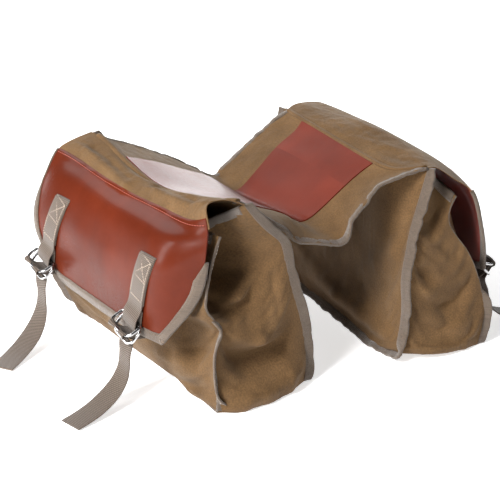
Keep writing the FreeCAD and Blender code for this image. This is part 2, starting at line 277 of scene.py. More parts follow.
def settle(o, nu, nv, frames=14, grow=0.02, pin=None, gravity=1.0, cap=9.0, stiff=6.0):
    """Short cloth simulation, held along pinned edges; the cloth is a little
    larger than its frame, so it falls into folds of its own."""
    sc = bpy.context.scene
    w = np.zeros((nu, nv)) if pin is None else pin
    if pin is None:
        w[0, :] = w[-1, :] = 1
        w[:, 0] = w[:, -1] = 1
    g = o.vertex_groups.new(name="held")
    for i, x in enumerate(w.ravel()):
        if x > 0:
            g.add([i], float(x), "REPLACE")
    rest = np.empty(len(o.data.vertices) * 3, np.float32)
    o.data.vertices.foreach_get("co", rest)
    m = o.modifiers.new("Cloth", "CLOTH")
    s = m.settings
    s.quality = 4
    s.mass = 0.4
    s.tension_stiffness = s.compression_stiffness = stiff
    s.shear_stiffness = stiff * 0.5
    s.bending_stiffness = 0.35
    s.air_damping = 2.0
    s.vertex_group_mass = "held"
    s.pin_stiffness = 1.0
    s.shrink_min = -grow
    s.effector_weights.gravity = gravity
    m.collision_settings.use_collision = False
    m.collision_settings.use_self_collision = False
    m.point_cache.frame_start = 1
    m.point_cache.frame_end = frames
    sc.frame_start, sc.frame_end = 1, frames
    for f in range(1, frames + 1):
        sc.frame_set(f)
    dg = bpy.context.evaluated_depsgraph_get()
    ev = o.evaluated_get(dg)
    co = np.empty(len(o.data.vertices) * 3, np.float32)
    ev.data.vertices.foreach_get("co", co)
    d = (co - rest).reshape(-1, 3)
    L = np.linalg.norm(d, axis=1, keepdims=True)
    k = np.minimum(1.0, cap / 1000 / np.maximum(L, 1e-9))
    d = np.nan_to_num(d * k)
    d *= (1 - w.reshape(-1, 1))
    o.modifiers.remove(m)
    o.vertex_groups.remove(g)
    sc.frame_set(1)
    return (rest.reshape(-1, 3) + d).astype(float).reshape(nu, nv, 3)


def loft(name, rings, mat, caps=True, length_uv=None, wrap_uv=None):
    """Closed cross-sections (n, k, 3) in metres joined into a solid."""
    R = np.asarray(rings, float)
    n, k = R.shape[:2]
    faces = []
    for i in range(n - 1):
        for j in range(k):
            a, b = i * k + j, i * k + (j + 1) % k
            faces.append((a, b, b + k, a + k))
    if caps:
        faces.append(tuple(range(k))[::-1])
        faces.append(tuple((n - 1) * k + j for j in range(k)))
    c = R.mean(1)
    v = np.r_[0, np.cumsum(np.linalg.norm(np.diff(c, axis=0), axis=1))]
    u = np.r_[0, np.cumsum(np.linalg.norm(np.diff(R[0], axis=0), axis=1))]
    u = np.minimum(u, u[-1] + np.linalg.norm(R[0, -1] - R[0, 0]) - u)   # same on both faces
    uv = np.stack([np.tile(u, (n, 1)), np.tile(v[:, None], (1, k))], -1).reshape(-1, 2)
    o = mesh(name, R, faces, uv, mat)
    # caps and folds stay crisp
    o.data.polygons.foreach_set("use_smooth", [len(p.vertices) == 4 for p in o.data.polygons])
    return o


def unit(v):
    return v / np.maximum(np.linalg.norm(v, axis=-1, keepdims=True), 1e-12)


def ribbon(name, C, side, width, thick, mat, crown=0.0, slant=0.0):
    """Webbing: centre line C, side direction, width and thickness in mm."""
    C = np.asarray(C, float)
    T = unit(np.gradient(C, axis=0))
    S = unit(np.asarray(side, float) - T * np.sum(side * T, -1, keepdims=True))
    N = np.cross(T, S)
    w = (np.broadcast_to(width, (len(C),)) / 2000)[:, None]
    t = (np.broadcast_to(thick, (len(C),)) / 2000)[:, None]
    prof = [(-1.0, -0.25), (-0.985, -0.75), (-0.94, -1), (-0.5, -1), (0, -1), (0.5, -1), (0.94, -1),
            (0.985, -0.75), (1.0, -0.25), (1.0, 0.25), (0.985, 0.75), (0.94, 1), (0.5, 1), (0, 1),
            (-0.5, 1), (-0.94, 1), (-0.985, 0.75), (-1.0, 0.25)]
    cr = np.broadcast_to(crown, (len(C),))[:, None] / 1000
    sl = T * w * slant * (np.clip(1 - np.arange(len(C)) / (len(C) * 0.2), 0, 1) ** 1.0)[:, None]
    rings = np.stack([C + (S * w + sl) * a + N * (t * b + cr * (1 - a * a)) for a, b in prof], 1)
    return loft(name, rings, mat)


def tape(name, root, tip, mat, thick=2.6, wave=0.0, ragged=0.0, seed=1.0):
    """Bound seam: tape folded over the fin between root and tip lines (mm, local)."""
    R = np.asarray(root, float)
    T = np.asarray(tip, float)
    tan = unit(np.gradient((R + T) / 2, axis=0))
    H = T - R
    N = unit(np.cross(tan, H))
    k = fbm(R, 17.0, seed)[:, None]
    k2 = fbm(R, 7.0, seed + 3)[:, None]
    T = T + N * (wave * k + ragged * k2 * 0.7) + unit(H) * ragged * 0.8 * fbm(R, 9.0, seed + 9)[:, None]
    M = (R + T) / 2 + N * (wave * 0.3 * k + ragged * 0.5 * k2)
    t = thick / 2
    H1 = unit(T - M)
    H0 = unit(M - R)
    rings = []
    for base, f, h in ((R - H0 * 1.0, 0.75, H0), (R, 1.05, H0), ((R + M) / 2, 0.9, H0), (M, 0.85, H1),
                       ((M + T) / 2, 0.9, H1), (T - H1 * 1.2, 1.0, H1), (T - H1 * 0.4, 0.75, H1)):
        rings.append(base + N * t * f)
    top = [T]
    for base, f in ((T - H1 * 0.4, 0.75), (T - H1 * 1.2, 1.0), ((M + T) / 2, 0.9), (M, 0.85),
                    ((R + M) / 2, 0.9), (R, 1.05), (R - H0 * 1.0, 0.75)):
        top.append(base - N * t * f)
    return np.stack(rings + top, 1)


def wrap(E, D, N, width, h, h2=None, back=None, rise=0.35):
    """Tape folded over a sheet's edge: E edge line, D inward, N outward (mm)."""
    h2 = h if h2 is None else h2
    back = width if back is None else back
    w = np.broadcast_to(width, (len(E),))[:, None]
    wb_ = np.broadcast_to(back, (len(E),))[:, None]
    e = 1.0
    pts = [E + D * w + N * (h - 0.5), E + D * (w - 0.3) + N * h, E + D * (w * 0.55) + N * (h + rise),
           E + D * 1.5 + N * h, E - D * 0.2 * e + N * h * 0.8, E - D * e, E - D * 0.2 * e - N * h2 * 0.8,
           E + D * 1.5 - N * h2, E + D * (wb_ * 0.55) - N * (h2 + rise), E + D * (wb_ - 0.3) - N * h2,
           E + D * wb_ - N * (h2 - 0.5)]
    return np.stack(pts, 1)


def stitch_rows(name, lines, mat, pitch=3.6, length=2.3, r=0.36, sink=0.12):
    """Thread: short rounded stitches. lines = [(points (n,3) mm local, normals)], placed by to."""
    V, F = [], []
    for pts, nor, to in lines:
        P = np.asarray(pts, float)
        s = np.r_[0, np.cumsum(np.linalg.norm(np.diff(P, axis=0), axis=1))]
        at = np.arange(pitch * 0.5, s[-1] - pitch * 0.5, pitch)
        if not len(at):
            continue
        f = lambda a, t: np.stack([np.interp(t, s, a[:, k]) for k in range(3)], -1)
        nn = np.broadcast_to(nor, P.shape)
        for c in at:
            a, b = f(P, np.array([c - length / 2, c + length / 2]))
            n = unit(f(nn, np.array([c])))[0]
            d = unit(b - a)
            side = np.cross(d, n)
            base = len(V)
            for q, rr, up in ((a, 0.35, -0.5), (a + d * length * 0.2, 0.95, 0.25), ((a + b) / 2, 1.0, 0.45),
                              (b - d * length * 0.2, 0.95, 0.25), (b, 0.35, -0.5)):
                for k in range(6):
                    g = k * math.pi / 3
                    V.append(to(q + (side * math.cos(g) + n * (math.sin(g) + up)) * r * rr - n * sink))
            for i in range(4):
                for k in range(6):
                    F.append((base + i * 6 + k, base + i * 6 + (k + 1) % 6,
                              base + (i + 1) * 6 + (k + 1) % 6, base + (i + 1) * 6 + k))
            F.append(tuple(base + k for k in range(6))[::-1])
            F.append(tuple(base + 24 + k for k in range(6)))
    V = np.array(V)
    return mesh(name, V, F, V[:, :2], mat)


# --------------------------------------------------------------- materials
def srgb(r, g, b):
    f = lambda c: c / 12.92 if c <= 0.04045 else ((c + 0.055) / 1.055) ** 2.4
    return (f(r / 255), f(g / 255), f(b / 255), 1.0)


class Nodes:
    def __init__(self, name):
        self.m = bpy.data.materials.new(name)
        self.m.use_nodes = True
        self.t = self.m.node_tree
        self.b = self.t.nodes["Principled BSDF"]

    def new(self, kind, **kw):
        n = self.t.nodes.new(kind)
        for k, v in kw.items():
            if k in n.inputs:
                n.inputs[k].default_value = v
            else:
                setattr(n, k, v)
        return n

    def link(self, a, b):
        self.t.links.new(a, b)

    def uv(self, su=1.0, sv=1.0, rot=0.0):
        tc = self.new("ShaderNodeTexCoord")
        mp = self.new("ShaderNodeMapping")
        mp.inputs["Scale"].default_value = (su, sv, 1)
        mp.inputs["Rotation"].default_value = (0, 0, rot)
        self.link(tc.outputs["UV"], mp.inputs["Vector"])
        return mp.outputs["Vector"]

    def obj(self, s=1.0):
        tc = self.new("ShaderNodeTexCoord")
        mp = self.new("ShaderNodeMapping")
        mp.inputs["Scale"].default_value = (s, s, s)
        self.link(tc.outputs["Object"], mp.inputs["Vector"])
        return mp.outputs["Vector"]

    def noise(self, vec, scale, detail=3.0, rough=0.55):
        n = self.new("ShaderNodeTexNoise")
        n.inputs["Scale"].default_value = scale
        n.inputs["Detail"].default_value = detail
        n.inputs["Roughness"].default_value = rough
        self.link(vec, n.inputs["Vector"])
        return n.outputs["Fac"]

    def ramp(self, fac, stops):
        r = self.new("ShaderNodeValToRGB")
        e = r.color_ramp.elements
        while len(e) < len(stops):
            e.new(0.5)
        for el, (p, c) in zip(e, stops):
            el.position = p
            el.color = c
        self.link(fac, r.inputs["Fac"])
        return r.outputs["Color"]

    def mix(self, fac, a, b, mode="MIX"):
        n = self.new("ShaderNodeMix", data_type="RGBA", blend_type=mode)
        for s, v in ((n.inputs[0], fac), (n.inputs[6], a), (n.inputs[7], b)):
            if hasattr(v, "is_output"):
                self.link(v, s)
            else:
                s.default_value = v
        return n.outputs[2]

    def math(self, op, a, b=0.0, c=0.0):
        n = self.new("ShaderNodeMath", operation=op)
        for s, v in zip(n.inputs, (a, b, c)):
            if hasattr(v, "is_output"):
                self.link(v, s)
            else:
                s.default_value = v
        return n.outputs[0]

    def wave(self, vec, scale, axis="X", distortion=0.0):
        n = self.new("ShaderNodeTexWave")
        n.bands_direction = axis
        n.inputs["Scale"].default_value = scale
        n.inputs["Distortion"].default_value = distortion
        n.inputs["Detail"].default_value = 1.0
        self.link(vec, n.inputs["Vector"])
        return n.outputs["Fac"]

    def bump(self, h, dist, strength=1.0, prev=None):
        n = self.new("ShaderNodeBump")
        n.inputs["Distance"].default_value = dist
        n.inputs["Strength"].default_value = strength
        self.link(h, n.inputs["Height"])
        if prev is not None:
            self.link(prev, n.inputs["Normal"])
        return n.outputs["Normal"]

    def set(self, **kw):
        for k, v in kw.items():
            s = self.b.inputs[k.replace("_", " ")]
            if hasattr(v, "is_output"):
                self.link(v, s)
            else:
                s.default_value = v


def canvas_material(name, base, dark, light, sheen=0.25):
    n = Nodes(name)
    uv = n.uv()
    blotch = n.noise(uv, 16, 4, 0.6)
    soft = n.noise(uv, 60, 5, 0.65)
    speck = n.noise(uv, 520, 2, 0.5)
    col = n.ramp(blotch, [(0.30, dark), (0.52, base), (0.74, light)])
    col = n.mix(n.math("MULTIPLY", soft, 0.55), col, base)
    slub = n.ramp(speck, [(0.3, (0.66, 0.66, 0.66, 1)), (0.7, (1.26, 1.26, 1.26, 1))])
    col = n.mix(0.8, col, slub, "MULTIPLY")
    # plain weave: warp and weft 0.9 mm apart
    a = n.wave(uv, 330, "X")
    b = n.wave(uv, 330, "Y")
    weave = n.math("MAXIMUM", a, b)
    dip = n.ramp(weave, [(0.0, (0.78, 0.78, 0.78, 1)), (1.0, (1.05, 1.05, 1.05, 1))])
    col = n.mix(0.45, col, dip, "MULTIPLY")
    h = n.math("ADD", n.math("MULTIPLY", weave, 0.5), n.math("MULTIPLY", speck, 0.6))
    nb = n.bump(h, 0.00035, 0.7)
    nb = n.bump(n.noise(uv, 90, 4, 0.6), 0.0016, 0.45, nb)
    n.set(Base_Color=col, Normal=nb, Roughness=0.86)
    n.set(Sheen_Weight=sheen, Sheen_Roughness=0.5, Sheen_Tint=(1.0, 0.88, 0.70, 1))
    n.set(Specular_IOR_Level=0.25)
    return n.m


def tape_material(name, base, dark, rib=420.0):
    n = Nodes(name)
    uv = n.uv()
    r = n.wave(uv, rib, "Y", 0.6)
    c = n.wave(uv, rib * 0.9, "X", 0.4)
    sp = n.noise(uv, 420, 3, 0.6)
    big = n.noise(uv, 45, 3, 0.6)
    col = n.mix(n.math("MULTIPLY", r, 0.75), dark, base)
    col = n.mix(0.55, col, n.ramp(sp, [(0.32, (0.66, 0.66, 0.66, 1)), (0.7, (1.3, 1.3, 1.3, 1))]), "MULTIPLY")
    col = n.mix(0.6, col, n.ramp(big, [(0.35, (0.82, 0.80, 0.78, 1)), (0.7, (1.12, 1.12, 1.12, 1))]), "MULTIPLY")
    h = n.math("ADD", r, n.math("MULTIPLY", c, 0.4))
    n.set(Base_Color=col, Normal=n.bump(h, 0.0004, 0.8), Roughness=0.8)
    n.set(Sheen_Weight=0.25, Sheen_Roughness=0.4, Specular_IOR_Level=0.3)
    return n.m


def webbing_material(name, base, dark):
    n = Nodes(name)
    uv = n.uv()
    r = n.wave(uv, 150, "Y", 0.15)            # cross ribs 2.1 mm apart
    c = n.wave(uv, 240, "X", 0.1)
    sp = n.noise(uv, 480, 3, 0.6)
    f = n.math("MULTIPLY", r, n.math("ADD", n.math("MULTIPLY", c, 0.35), 0.65))
    col = n.mix(f, dark, base)
    col = n.mix(0.5, col, n.ramp(sp, [(0.32, (0.7, 0.7, 0.7, 1)), (0.7, (1.25, 1.25, 1.25, 1))]), "MULTIPLY")
    n.set(Base_Color=col, Normal=n.bump(f, 0.0007, 0.9), Roughness=0.72)
    n.set(Sheen_Weight=0.2, Sheen_Roughness=0.4, Specular_IOR_Level=0.35)
    return n.m


def leather_material(name, base, dark, light, rough=0.30, coat=0.6):
    n = Nodes(name)
    uv = n.uv()
    big = n.noise(uv, 9, 3, 0.5)
    streak = n.noise(n.uv(38, 5), 1.0, 3, 0.5)
    fine = n.noise(uv, 160, 4, 0.6)
    col = n.ramp(big, [(0.3, dark), (0.55, base), (0.8, light)])
    col = n.mix(0.35, col, n.ramp(streak, [(0.35, (0.86, 0.84, 0.82, 1)), (0.65, (1.1, 1.1, 1.1, 1))]), "MULTIPLY")
    col = n.mix(0.18, col, n.ramp(fine, [(0.3, (0.7, 0.68, 0.66, 1)), (0.7, (1.1, 1.1, 1.1, 1))]), "MULTIPLY")
    v = n.new("ShaderNodeTexVoronoi")
    v.feature = "DISTANCE_TO_EDGE"
    v.inputs["Scale"].default_value = 900
    n.link(uv, v.inputs["Vector"])
    grain = n.ramp(v.outputs["Distance"], [(0.0, (0, 0, 0, 1)), (0.12, (1, 1, 1, 1))])
    nb = n.bump(grain, 0.00006, 0.5)
    nb = n.bump(n.noise(uv, 30, 2, 0.5), 0.0005, 0.2, nb)
    rr = n.math("ADD", n.math("MULTIPLY", fine, 0.10), rough - 0.05)
    n.set(Base_Color=col, Roughness=rr, Normal=nb, Specular_IOR_Level=0.08)
    n.set(Coat_Weight=coat, Coat_Roughness=0.14, Coat_IOR=1.45)
    return n.m


def thread_material(name, c):
    n = Nodes(name)
    o = n.obj(1.0)
    tw = n.noise(o, 2500, 2, 0.5)
    col = n.mix(0.5, c, n.ramp(tw, [(0.3, (0.6, 0.6, 0.6, 1)), (0.7, (1.15, 1.15, 1.15, 1))]), "MULTIPLY")
    n.set(Base_Color=col, Roughness=0.6, Normal=n.bump(tw, 0.0001, 0.6))
    return n.m


def steel_material(name):
    n = Nodes(name)
    o = n.obj(1.0)
    a = n.noise(o, 700, 3, 0.6)
    b = n.noise(o, 90, 3, 0.5)
    col = n.ramp(b, [(0.3, srgb(150, 149, 150)), (0.7, srgb(198, 197, 197))])
    n.set(Base_Color=col, Metallic=1.0, Roughness=n.math("ADD", n.math("MULTIPLY", a, 0.10), 0.10),
          Normal=n.bump(a, 0.00002, 0.4))
    return n.m


CANVAS = canvas_material("canvas", srgb(94, 69, 41), srgb(73, 52, 29), srgb(114, 86, 55), 0.08)
CANVAS_IN = canvas_material("canvas_inside", srgb(96, 74, 48), srgb(78, 60, 38), srgb(112, 88, 60), 0.1)
TAPE = tape_material("binding_tape", srgb(124, 108, 94), srgb(70, 59, 49))
WEB = webbing_material("webbing", srgb(112, 97, 85), srgb(58, 49, 41))
LEATHER = leather_material("leather", srgb(84, 32, 17), srgb(71, 26, 13), srgb(97, 41, 24), 0.2, 0.08)
LEATHER_EDGE = leather_material("leather_edge", srgb(98, 36, 22), srgb(84, 30, 18), srgb(112, 44, 28), 0.45, 0.05)
THREAD = thread_material("thread", srgb(205, 190, 178))
THREAD_RED = thread_material("thread_red", srgb(168, 84, 68))
THREAD_TAB = thread_material("thread_tab", srgb(166, 150, 135))
PATCH = leather_material("patch_leather", srgb(84, 34, 19), srgb(72, 28, 15), srgb(96, 43, 26), 0.25, 1.0)
# painted light: a lighter copy of the leather, whose brighter base stands in for light falling on the inside of flap B
LEATHER_BACK_PAINTED_LIT = leather_material("leather_back_painted_lit", srgb(150, 58, 44), srgb(132, 48, 36), srgb(164, 68, 52), 0.5, 0.1)
THREAD_DARK = thread_material("thread_dark", srgb(86, 36, 26))
THREAD_KHAKI = thread_material("thread_khaki", srgb(98, 80, 62))
STEEL = steel_material("ring_steel")


def finish_piece(o, body, nodes=(), blend=None):
    if nodes:
        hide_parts(*nodes)
    if blend:
        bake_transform(o)
    else:
        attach(o, body)
    return o


def area_of(P):
    a = np.linalg.norm(np.cross(np.diff(P, axis=0)[:, :-1], np.diff(P, axis=1)[:-1]), axis=-1).sum()
    return float(a)


# =================================================================== bags
def at_y(rows, ys, sp):
    """rows[j] = list of x over ys at height sp[j] (or (x, z) pairs) -> net rows."""
    out = []
    for r, z in zip(rows, sp):
        out.append([(x[0], y, x[1]) if isinstance(x, tuple) else (x, y, z) for x, y in zip(r, ys)])
    return out


# the line where flap, bridge and back panel of each bag are sewn together
SEAM_LINE = {
    "a": [(-27, -166, 239), (-25, -146, 238), (-27, -112, 228), (-33, -75, 222), (-42, -20, 218), (-41, 30, 222),
          (-35, 84, 229), (-28, 141, 235), (-27, 166, 235)],
    "b": [(36, -167, 242), (42, -157, 240), (56, -136, 233), (65, -108, 229), (66, -82, 228), (66, 0, 227), (66, 82, 227),
          (66, 125, 227), (64, 150, 226), (63, 166, 225)],
}


def seam_at(S, y, drop=0.0):
    L = np.array(SEAM_LINE[S], float)
    c = cubic(L[:, 1], L[:, [0, 2]], np.atleast_1d(y))
    return [(float(a), float(b), float(d) - drop) for (a, d), b in zip(c, np.atleast_1d(y))]


BAG = {}
YS = [-160, -120, -60, 0, 60, 120, 160]
BAG["a"] = dict(
    ys=YS,
    # front panel: heights of the rows, and x along y
    fz=[1, 30, 62, 88, 104, 122, 142, 176, 209],
    fx=[[-64, -60, -55, -52, -51, -51, -57],
        [-63, -66, -68, -67, -67, -67, -71],
        [-66, -70, -79, -82, -83, -81, -84],
        [-61, -60, -82, -92, -94, -91, -93],
        [-58, -64, -86, -96, -98, -95, -96],
        [-73, -82, -93, -100, -102, -99, -98],
        [-76, -87, -97, -101, -103, -100, -98],
        [-69, -81, -87, -89, -89, -88, -85],
        [-57, -64, -68, -68, -68, -67, -66]],
    # back panel: near edge, middle and far edge as (x, z), bottom to top
    bn=[(58, 3), (59, 37), (51, 85), (40, 119), (33, 145), (26, 173), (20, 187), (-2, 208), (-25, 230)],
    bm=[(54, 2), (57, 36), (54, 82), (44, 116), (36, 143), (28, 168), (18, 184), (-4, 204), (-25, 222)],
    bf=[(57, 3), (60, 37), (52, 85), (43, 119), (35, 145), (27, 173), (18, 188), (-3, 208), (-22, 225)],
    fins=(11.0, 11.5),
)
BAG["b"] = dict(
    ys=YS,
    fz=[1, 20, 45, 75, 105, 132, 155, 178, 200],
    fx=[[-46, -47, -50, -50, -50, -50, -49],
        [-50, -52, -54, -54, -54, -54, -52],
        [-52, -55, -57, -57, -57, -56, -54],
        [-45, -52, -56, -57, -57, -55, -50],
        [-34, -45, -51, -52, -52, -50, -46],
        [-19, -36, -44, -46, -46, -44, -41],
        [-1, -24, -35, -37, -37, -35, -33],
        [7, -14, -24, -26, -26, -25, -24],
        [-2, -9, -14, -15, -15, -15, -14]],
    bn=[(63, 12), (67, 24), (64, 45), (63, 78), (65, 107), (61, 138), (57, 163), (50, 190), (36, 240)],
    bm=[(70, 4.5), (78, 30), (71, 50), (64, 76), (64, 104), (67, 134), (68, 162), (68, 194), (65, 218)],
    bf=[(71, 5), (77, 28), (71, 46), (66, 76), (66, 104), (67, 134), (67, 162), (67, 190), (65, 215)],
    fins=(10.0, 11.0),
)

SEAMS = {}
for S in "ab":
    q = BAG[S]
    to = WORLD[S]
    ku = [-1, -0.75, -0.375, 0, 0.375, 0.75, 1]
    kv = np.linspace(0, 1, 9)
    us = np.linspace(-1, 1, 97)
    vs = np.linspace(0, 1, 61)
    # ------------------------------------------------------- front panel
    rows = [[(x, y * (1.0 if abs(y) < 160 else 0.995), z) for x, y in zip(r, q["ys"])]
            for r, z in zip(q["fx"], q["fz"])]
    F = net(rows, ku, kv, us, vs)
    w = edge_fade(97, 61, 0.1)
    F[..., 0] -= w * (3.0 * fbm(F * [1, 0.6, 1.3], 60, 2.0 + ord(S)) + 1.2 * fbm(F, 22, 5.0))
    if S == "a":
        # crushed under the flap's near corner, with a roll below it
        F[..., 0] -= w * folds(F[..., 1], F[..., 2], [(-10, 11, (-150, 62), (-105, 74)), (7, 9, (-140, 38), (-60, 40)),
                                                      (4, 8, (-60, 66), (40, 50)), (-4, 7, (-80, 52), (0, 60)),
                                                      (4, 6, (60, 30), (130, 60)), (-3, 6, (10, 34), (80, 26))])
    # ------------------------------------------------------- back panel
    mids = []
    for n_, m_, f_ in zip(q["bn"], q["bm"], q["bf"]):
        q4 = lambda k: ((1 - k) * n_[0] + k * m_[0], (1 - k) * n_[1] + k * m_[1])
        g4 = lambda k: ((1 - k) * f_[0] + k * m_[0], (1 - k) * f_[1] + k * m_[1])
        seq = [n_, q4(0.72), q4(0.95), m_, g4(0.95), g4(0.72), f_]
        mids.append([(c[0], y, c[1]) for c, y in zip(seq, [-159.5, -120, -60, 0, 60, 120, 159.5])])
    top_row = seam_at(S, [-159.5, -120, -60, 0, 60, 120, 159.5], 0.6)
    if S == "b":
        # the near top corner is drawn up and forward by its bound seam
        top_row[0] = mids[-1][0]
        top_row[1] = (64, -126, 224)
    mids[-1] = top_row
    K = net(mids, ku, kv, us, vs)
    nb = normals(K)
    if nb[48, 30, 0] < 0:
        nb = -nb
    d = 2.6 * fbm(K, 70, 9.0 + ord(S)) + 1.3 * fbm(K, 24, 1.0)
    if S == "b":
        d += folds(K[..., 1], K[..., 2], [(4.5, 7, (150, 60), (-20, 34)), (3.5, 6, (-20, 34), (-140, 22)),
                                          (-5, 9, (120, 14), (-120, 12)), (-4, 14, (-60, 150), (-140, 205)),
                                          (4, 10, (-150, 150), (-70, 90)), (-3, 9, (40, 110), (-60, 70)),
                                          (3, 8, (100, 180), (20, 130))])
    K = K + nb * (w * d)[..., None]
    q["F"], q["K"] = F, K

    # ------------------------------------------------------------ gusset
    nearF, farF = F[0], F[-1]                 # (61, 3) bottom to top
    nearK, farK = K[0], K[-1]
    path_f = [p for p in nearF[::-1]]
    path_k = [p for p in nearK[::-1]]
    nb_ = 44
    for i in range(1, nb_):
        k = i / nb_
        path_f.append(F[int(round(96 * k)), 0])
        path_k.append(K[int(round(96 * k)), 0])
    path_f += [p for p in farF]
    path_k += [p for p in farK]
    PF, PK = np.array(path_f), np.array(path_k)
    nt = len(PF)
    nw = 41
    ws = np.linspace(0, 1, nw)
    G = PF[:, None] * (1 - ws[None, :, None]) + PK[:, None] * ws[None, :, None]
    # the strip leaves its two seams square, so the middle bows out
    bow = np.sin(ws * np.pi)[None, :]
    side_n = np.zeros(nt)
    side_n[:61] = 1
    side_f = np.zeros(nt)
    side_f[-61:] = 1
    x, z = G[..., 0], G[..., 2]
    if S == "a":
        prof = folds(x, z, [
            (-19, 26, (-60, 215), (-10, 205)), (-9, 16, (-80, 185), (-30, 185)),
            (6, 7, (-82, 168), (-32, 152)), (8, 9, (22, 192), (-30, 143)), (5, 8, (-30, 143), (-60, 120)),
            (-7, 9, (-60, 140), (-20, 118)), (-5, 8, (18, 150), (10, 105)), (3.5, 4, (4, 155), (12, 90)),
            (9, 8, (-60, 100), (-10, 82)), (7, 8, (-10, 82), (20, 72)), (-15, 11, (-46, 66), (22, 54)),
            (-6, 9, (-20, 42), (10, 34)), (9, 12, (48, 62), (-46, 6)), (7, 14, (46, 34), (0, 6)),
            (-3, 5, (44, 110), (30, 70)), (3, 5, (34, 132), (24, 96))])
        low = 11 * np.exp(-((z - 12) / 26) ** 2)
    else:
        prof = folds(x, z, [
            (-12, 18, (10, 215), (44, 224)), (5, 6, (8, 196), (36, 206)), (-7, 9, (20, 178), (46, 182)),
            (6, 9, (52, 165), (14, 130)), (-8, 10, (50, 120), (10, 98)), (7, 9, (-20, 124), (30, 88)),
            (-8, 10, (-34, 86), (4, 66)), (7, 10, (40, 62), (-10, 40)), (-3, 3, (10, 38), (-16, 56)),
            (5, 12, (-40, 52), (-10, 20)), (4, 10, (50, 30), (10, 10)), (3, 5, (40, 140), (58, 96))])
        low = 8 * np.exp(-((z - 14) / 26) ** 2)
    n1 = 2.0 * fbm(G, 30, 4.0 + ord(S)) + 0.9 * fbm(G * [1, 1, 0.6], 12, 8.0) + 0.35 * fbm(G, 6, 14.0)
    nc = 34 if S == "a" else 22
    cave = np.linspace(1, 0, nc) ** 1.3
    if S == "a":
        cave = np.linspace(1, 0, nc) ** 0.9
        cave = np.r_[cave, np.zeros(nt - nc)][:, None] * (np.sin(np.pi * ws ** 0.62) ** 0.8)[None, :]
    else:
        cave = np.r_[cave, np.zeros(nt - nc)][:, None] * (bow ** 0.7)
    out_n = ((prof * 1.12 + low + n1) * np.minimum(1, bow * 1.5) - (62 if S == "a" else 9) * cave) * side_n[:, None]
    far_x = folds(x, z, [(-10, 20, (-40, 205), (20, 200)), (7, 12, (-50, 120), (40, 90)), (-9, 14, (-30, 160), (40, 140)),
                         (-7, 12, (-40, 60), (30, 50)), (6, 10, (40, 40), (-40, 20))])
    out_f = (far_x + low * 0.8 + n1) * np.minimum(1, bow * 1.5) * side_f[:, None]
    G[..., 1] += -out_n + out_f
    if S == "a":
        # the mouth edge sags into the hollow
        G[..., 2] -= 40 * cave * side_n[:, None]
    # where side turns into bottom, keep the strip off the floor's corner
    G[..., 2] = np.maximum(G[..., 2], 0.9)
    q["G"] = G
    hold = np.zeros((nt, nw))
    hold[:, 0] = hold[:, -1] = 1
    hold[0] = hold[-1] = 1
    hold[61:-61] = np.maximum(hold[61:-61], 0.97)
    hold[56:61] = 0.6
    hold[-61:-56] = 0.6
    gus, G2 = cloth("bag_%s_gusset_cloth" % S, to(G), CANVAS, 1.1, out=-1 if S == "a" else 1,
                sim=dict(grow=0.015, pin=hold, cap=5))
    finish_piece(gus, "bag_" + S, ["bag_%s_gusset" % S])
    hold = np.zeros((97, 61))
    hold[0] = hold[-1] = 1
    hold[:, 0] = hold[:, -1] = 1
    G = LOCAL[S](G2)
    q["G"] = G
    fp, F2 = cloth("bag_%s_front_cloth" % S, to(F), CANVAS, 1.1, out=1 if S == "a" else -1,
               sim=dict(grow=0.015, pin=hold, cap=5))
    finish_piece(fp, "bag_" + S, ["bag_%s_front_panel" % S])
    F = LOCAL[S](F2)
    q["F"] = F
    bp, _ = cloth("bag_%s_back_cloth" % S, to(K), CANVAS, 1.1, out=-1 if S == "a" else 1,
               sim=dict(grow=0.015, pin=hold, cap=5))
    finish_piece(bp, "bag_" + S, ["bag_%s_back_panel" % S])
    for o_, P_ in ((gus, G), (fp, F), (bp, K)):
        a_ = area_of(P_) / 1e6
        wd, ln = (0.135, a_ / 0.135) if o_ is gus else (0.32, a_ / 0.32)

    # ------------------------------------------------------- bound seams
    lines = []
    for tag, line, other, reach in (("front", PF, PK, q["fins"][0]), ("back", PK, PF, q["fins"][1])):
        sgn = -1.0 if tag == "front" else 1.0
        R_ = np.array([p for p in line])
        # even, smooth root line
        L_ = curve(R_[::4], 210)
        n_all = len(L_)
        D_ = np.zeros((n_all, 3))
        s_ = np.linspace(0, 1, n_all)
        for i, p in enumerate(L_):
            near, far, bottom = p[1] < -150, p[1] > 150, p[2] < 16
            if S == "a" and tag == "front":
                v_ = np.array([-0.62, -0.78 if near else 0.78, 0.0]) if (near or far) and not bottom else \
                    np.array([0.9, 0, -0.25])
            elif tag == "back" and S == "a":
                v_ = np.array([0.97, -0.2 if near else 0.2, 0.12]) if (near or far) and not bottom else \
                    np.array([0.92, 0, -0.1])
            elif tag == "front":
                v_ = np.array([-0.8, -0.55 if near else 0.55, 0.0]) if (near or far) and not bottom else \
                    np.array([-0.95, 0, 0.0])
            else:
                v_ = np.array([-0.5, -0.86, 0.05]) if near and not bottom else np.array([0.42, 0.9, 0.1]) if (near or far) and not bottom else \
                    np.array([0.9, 0, -0.42])
            D_[i] = v_
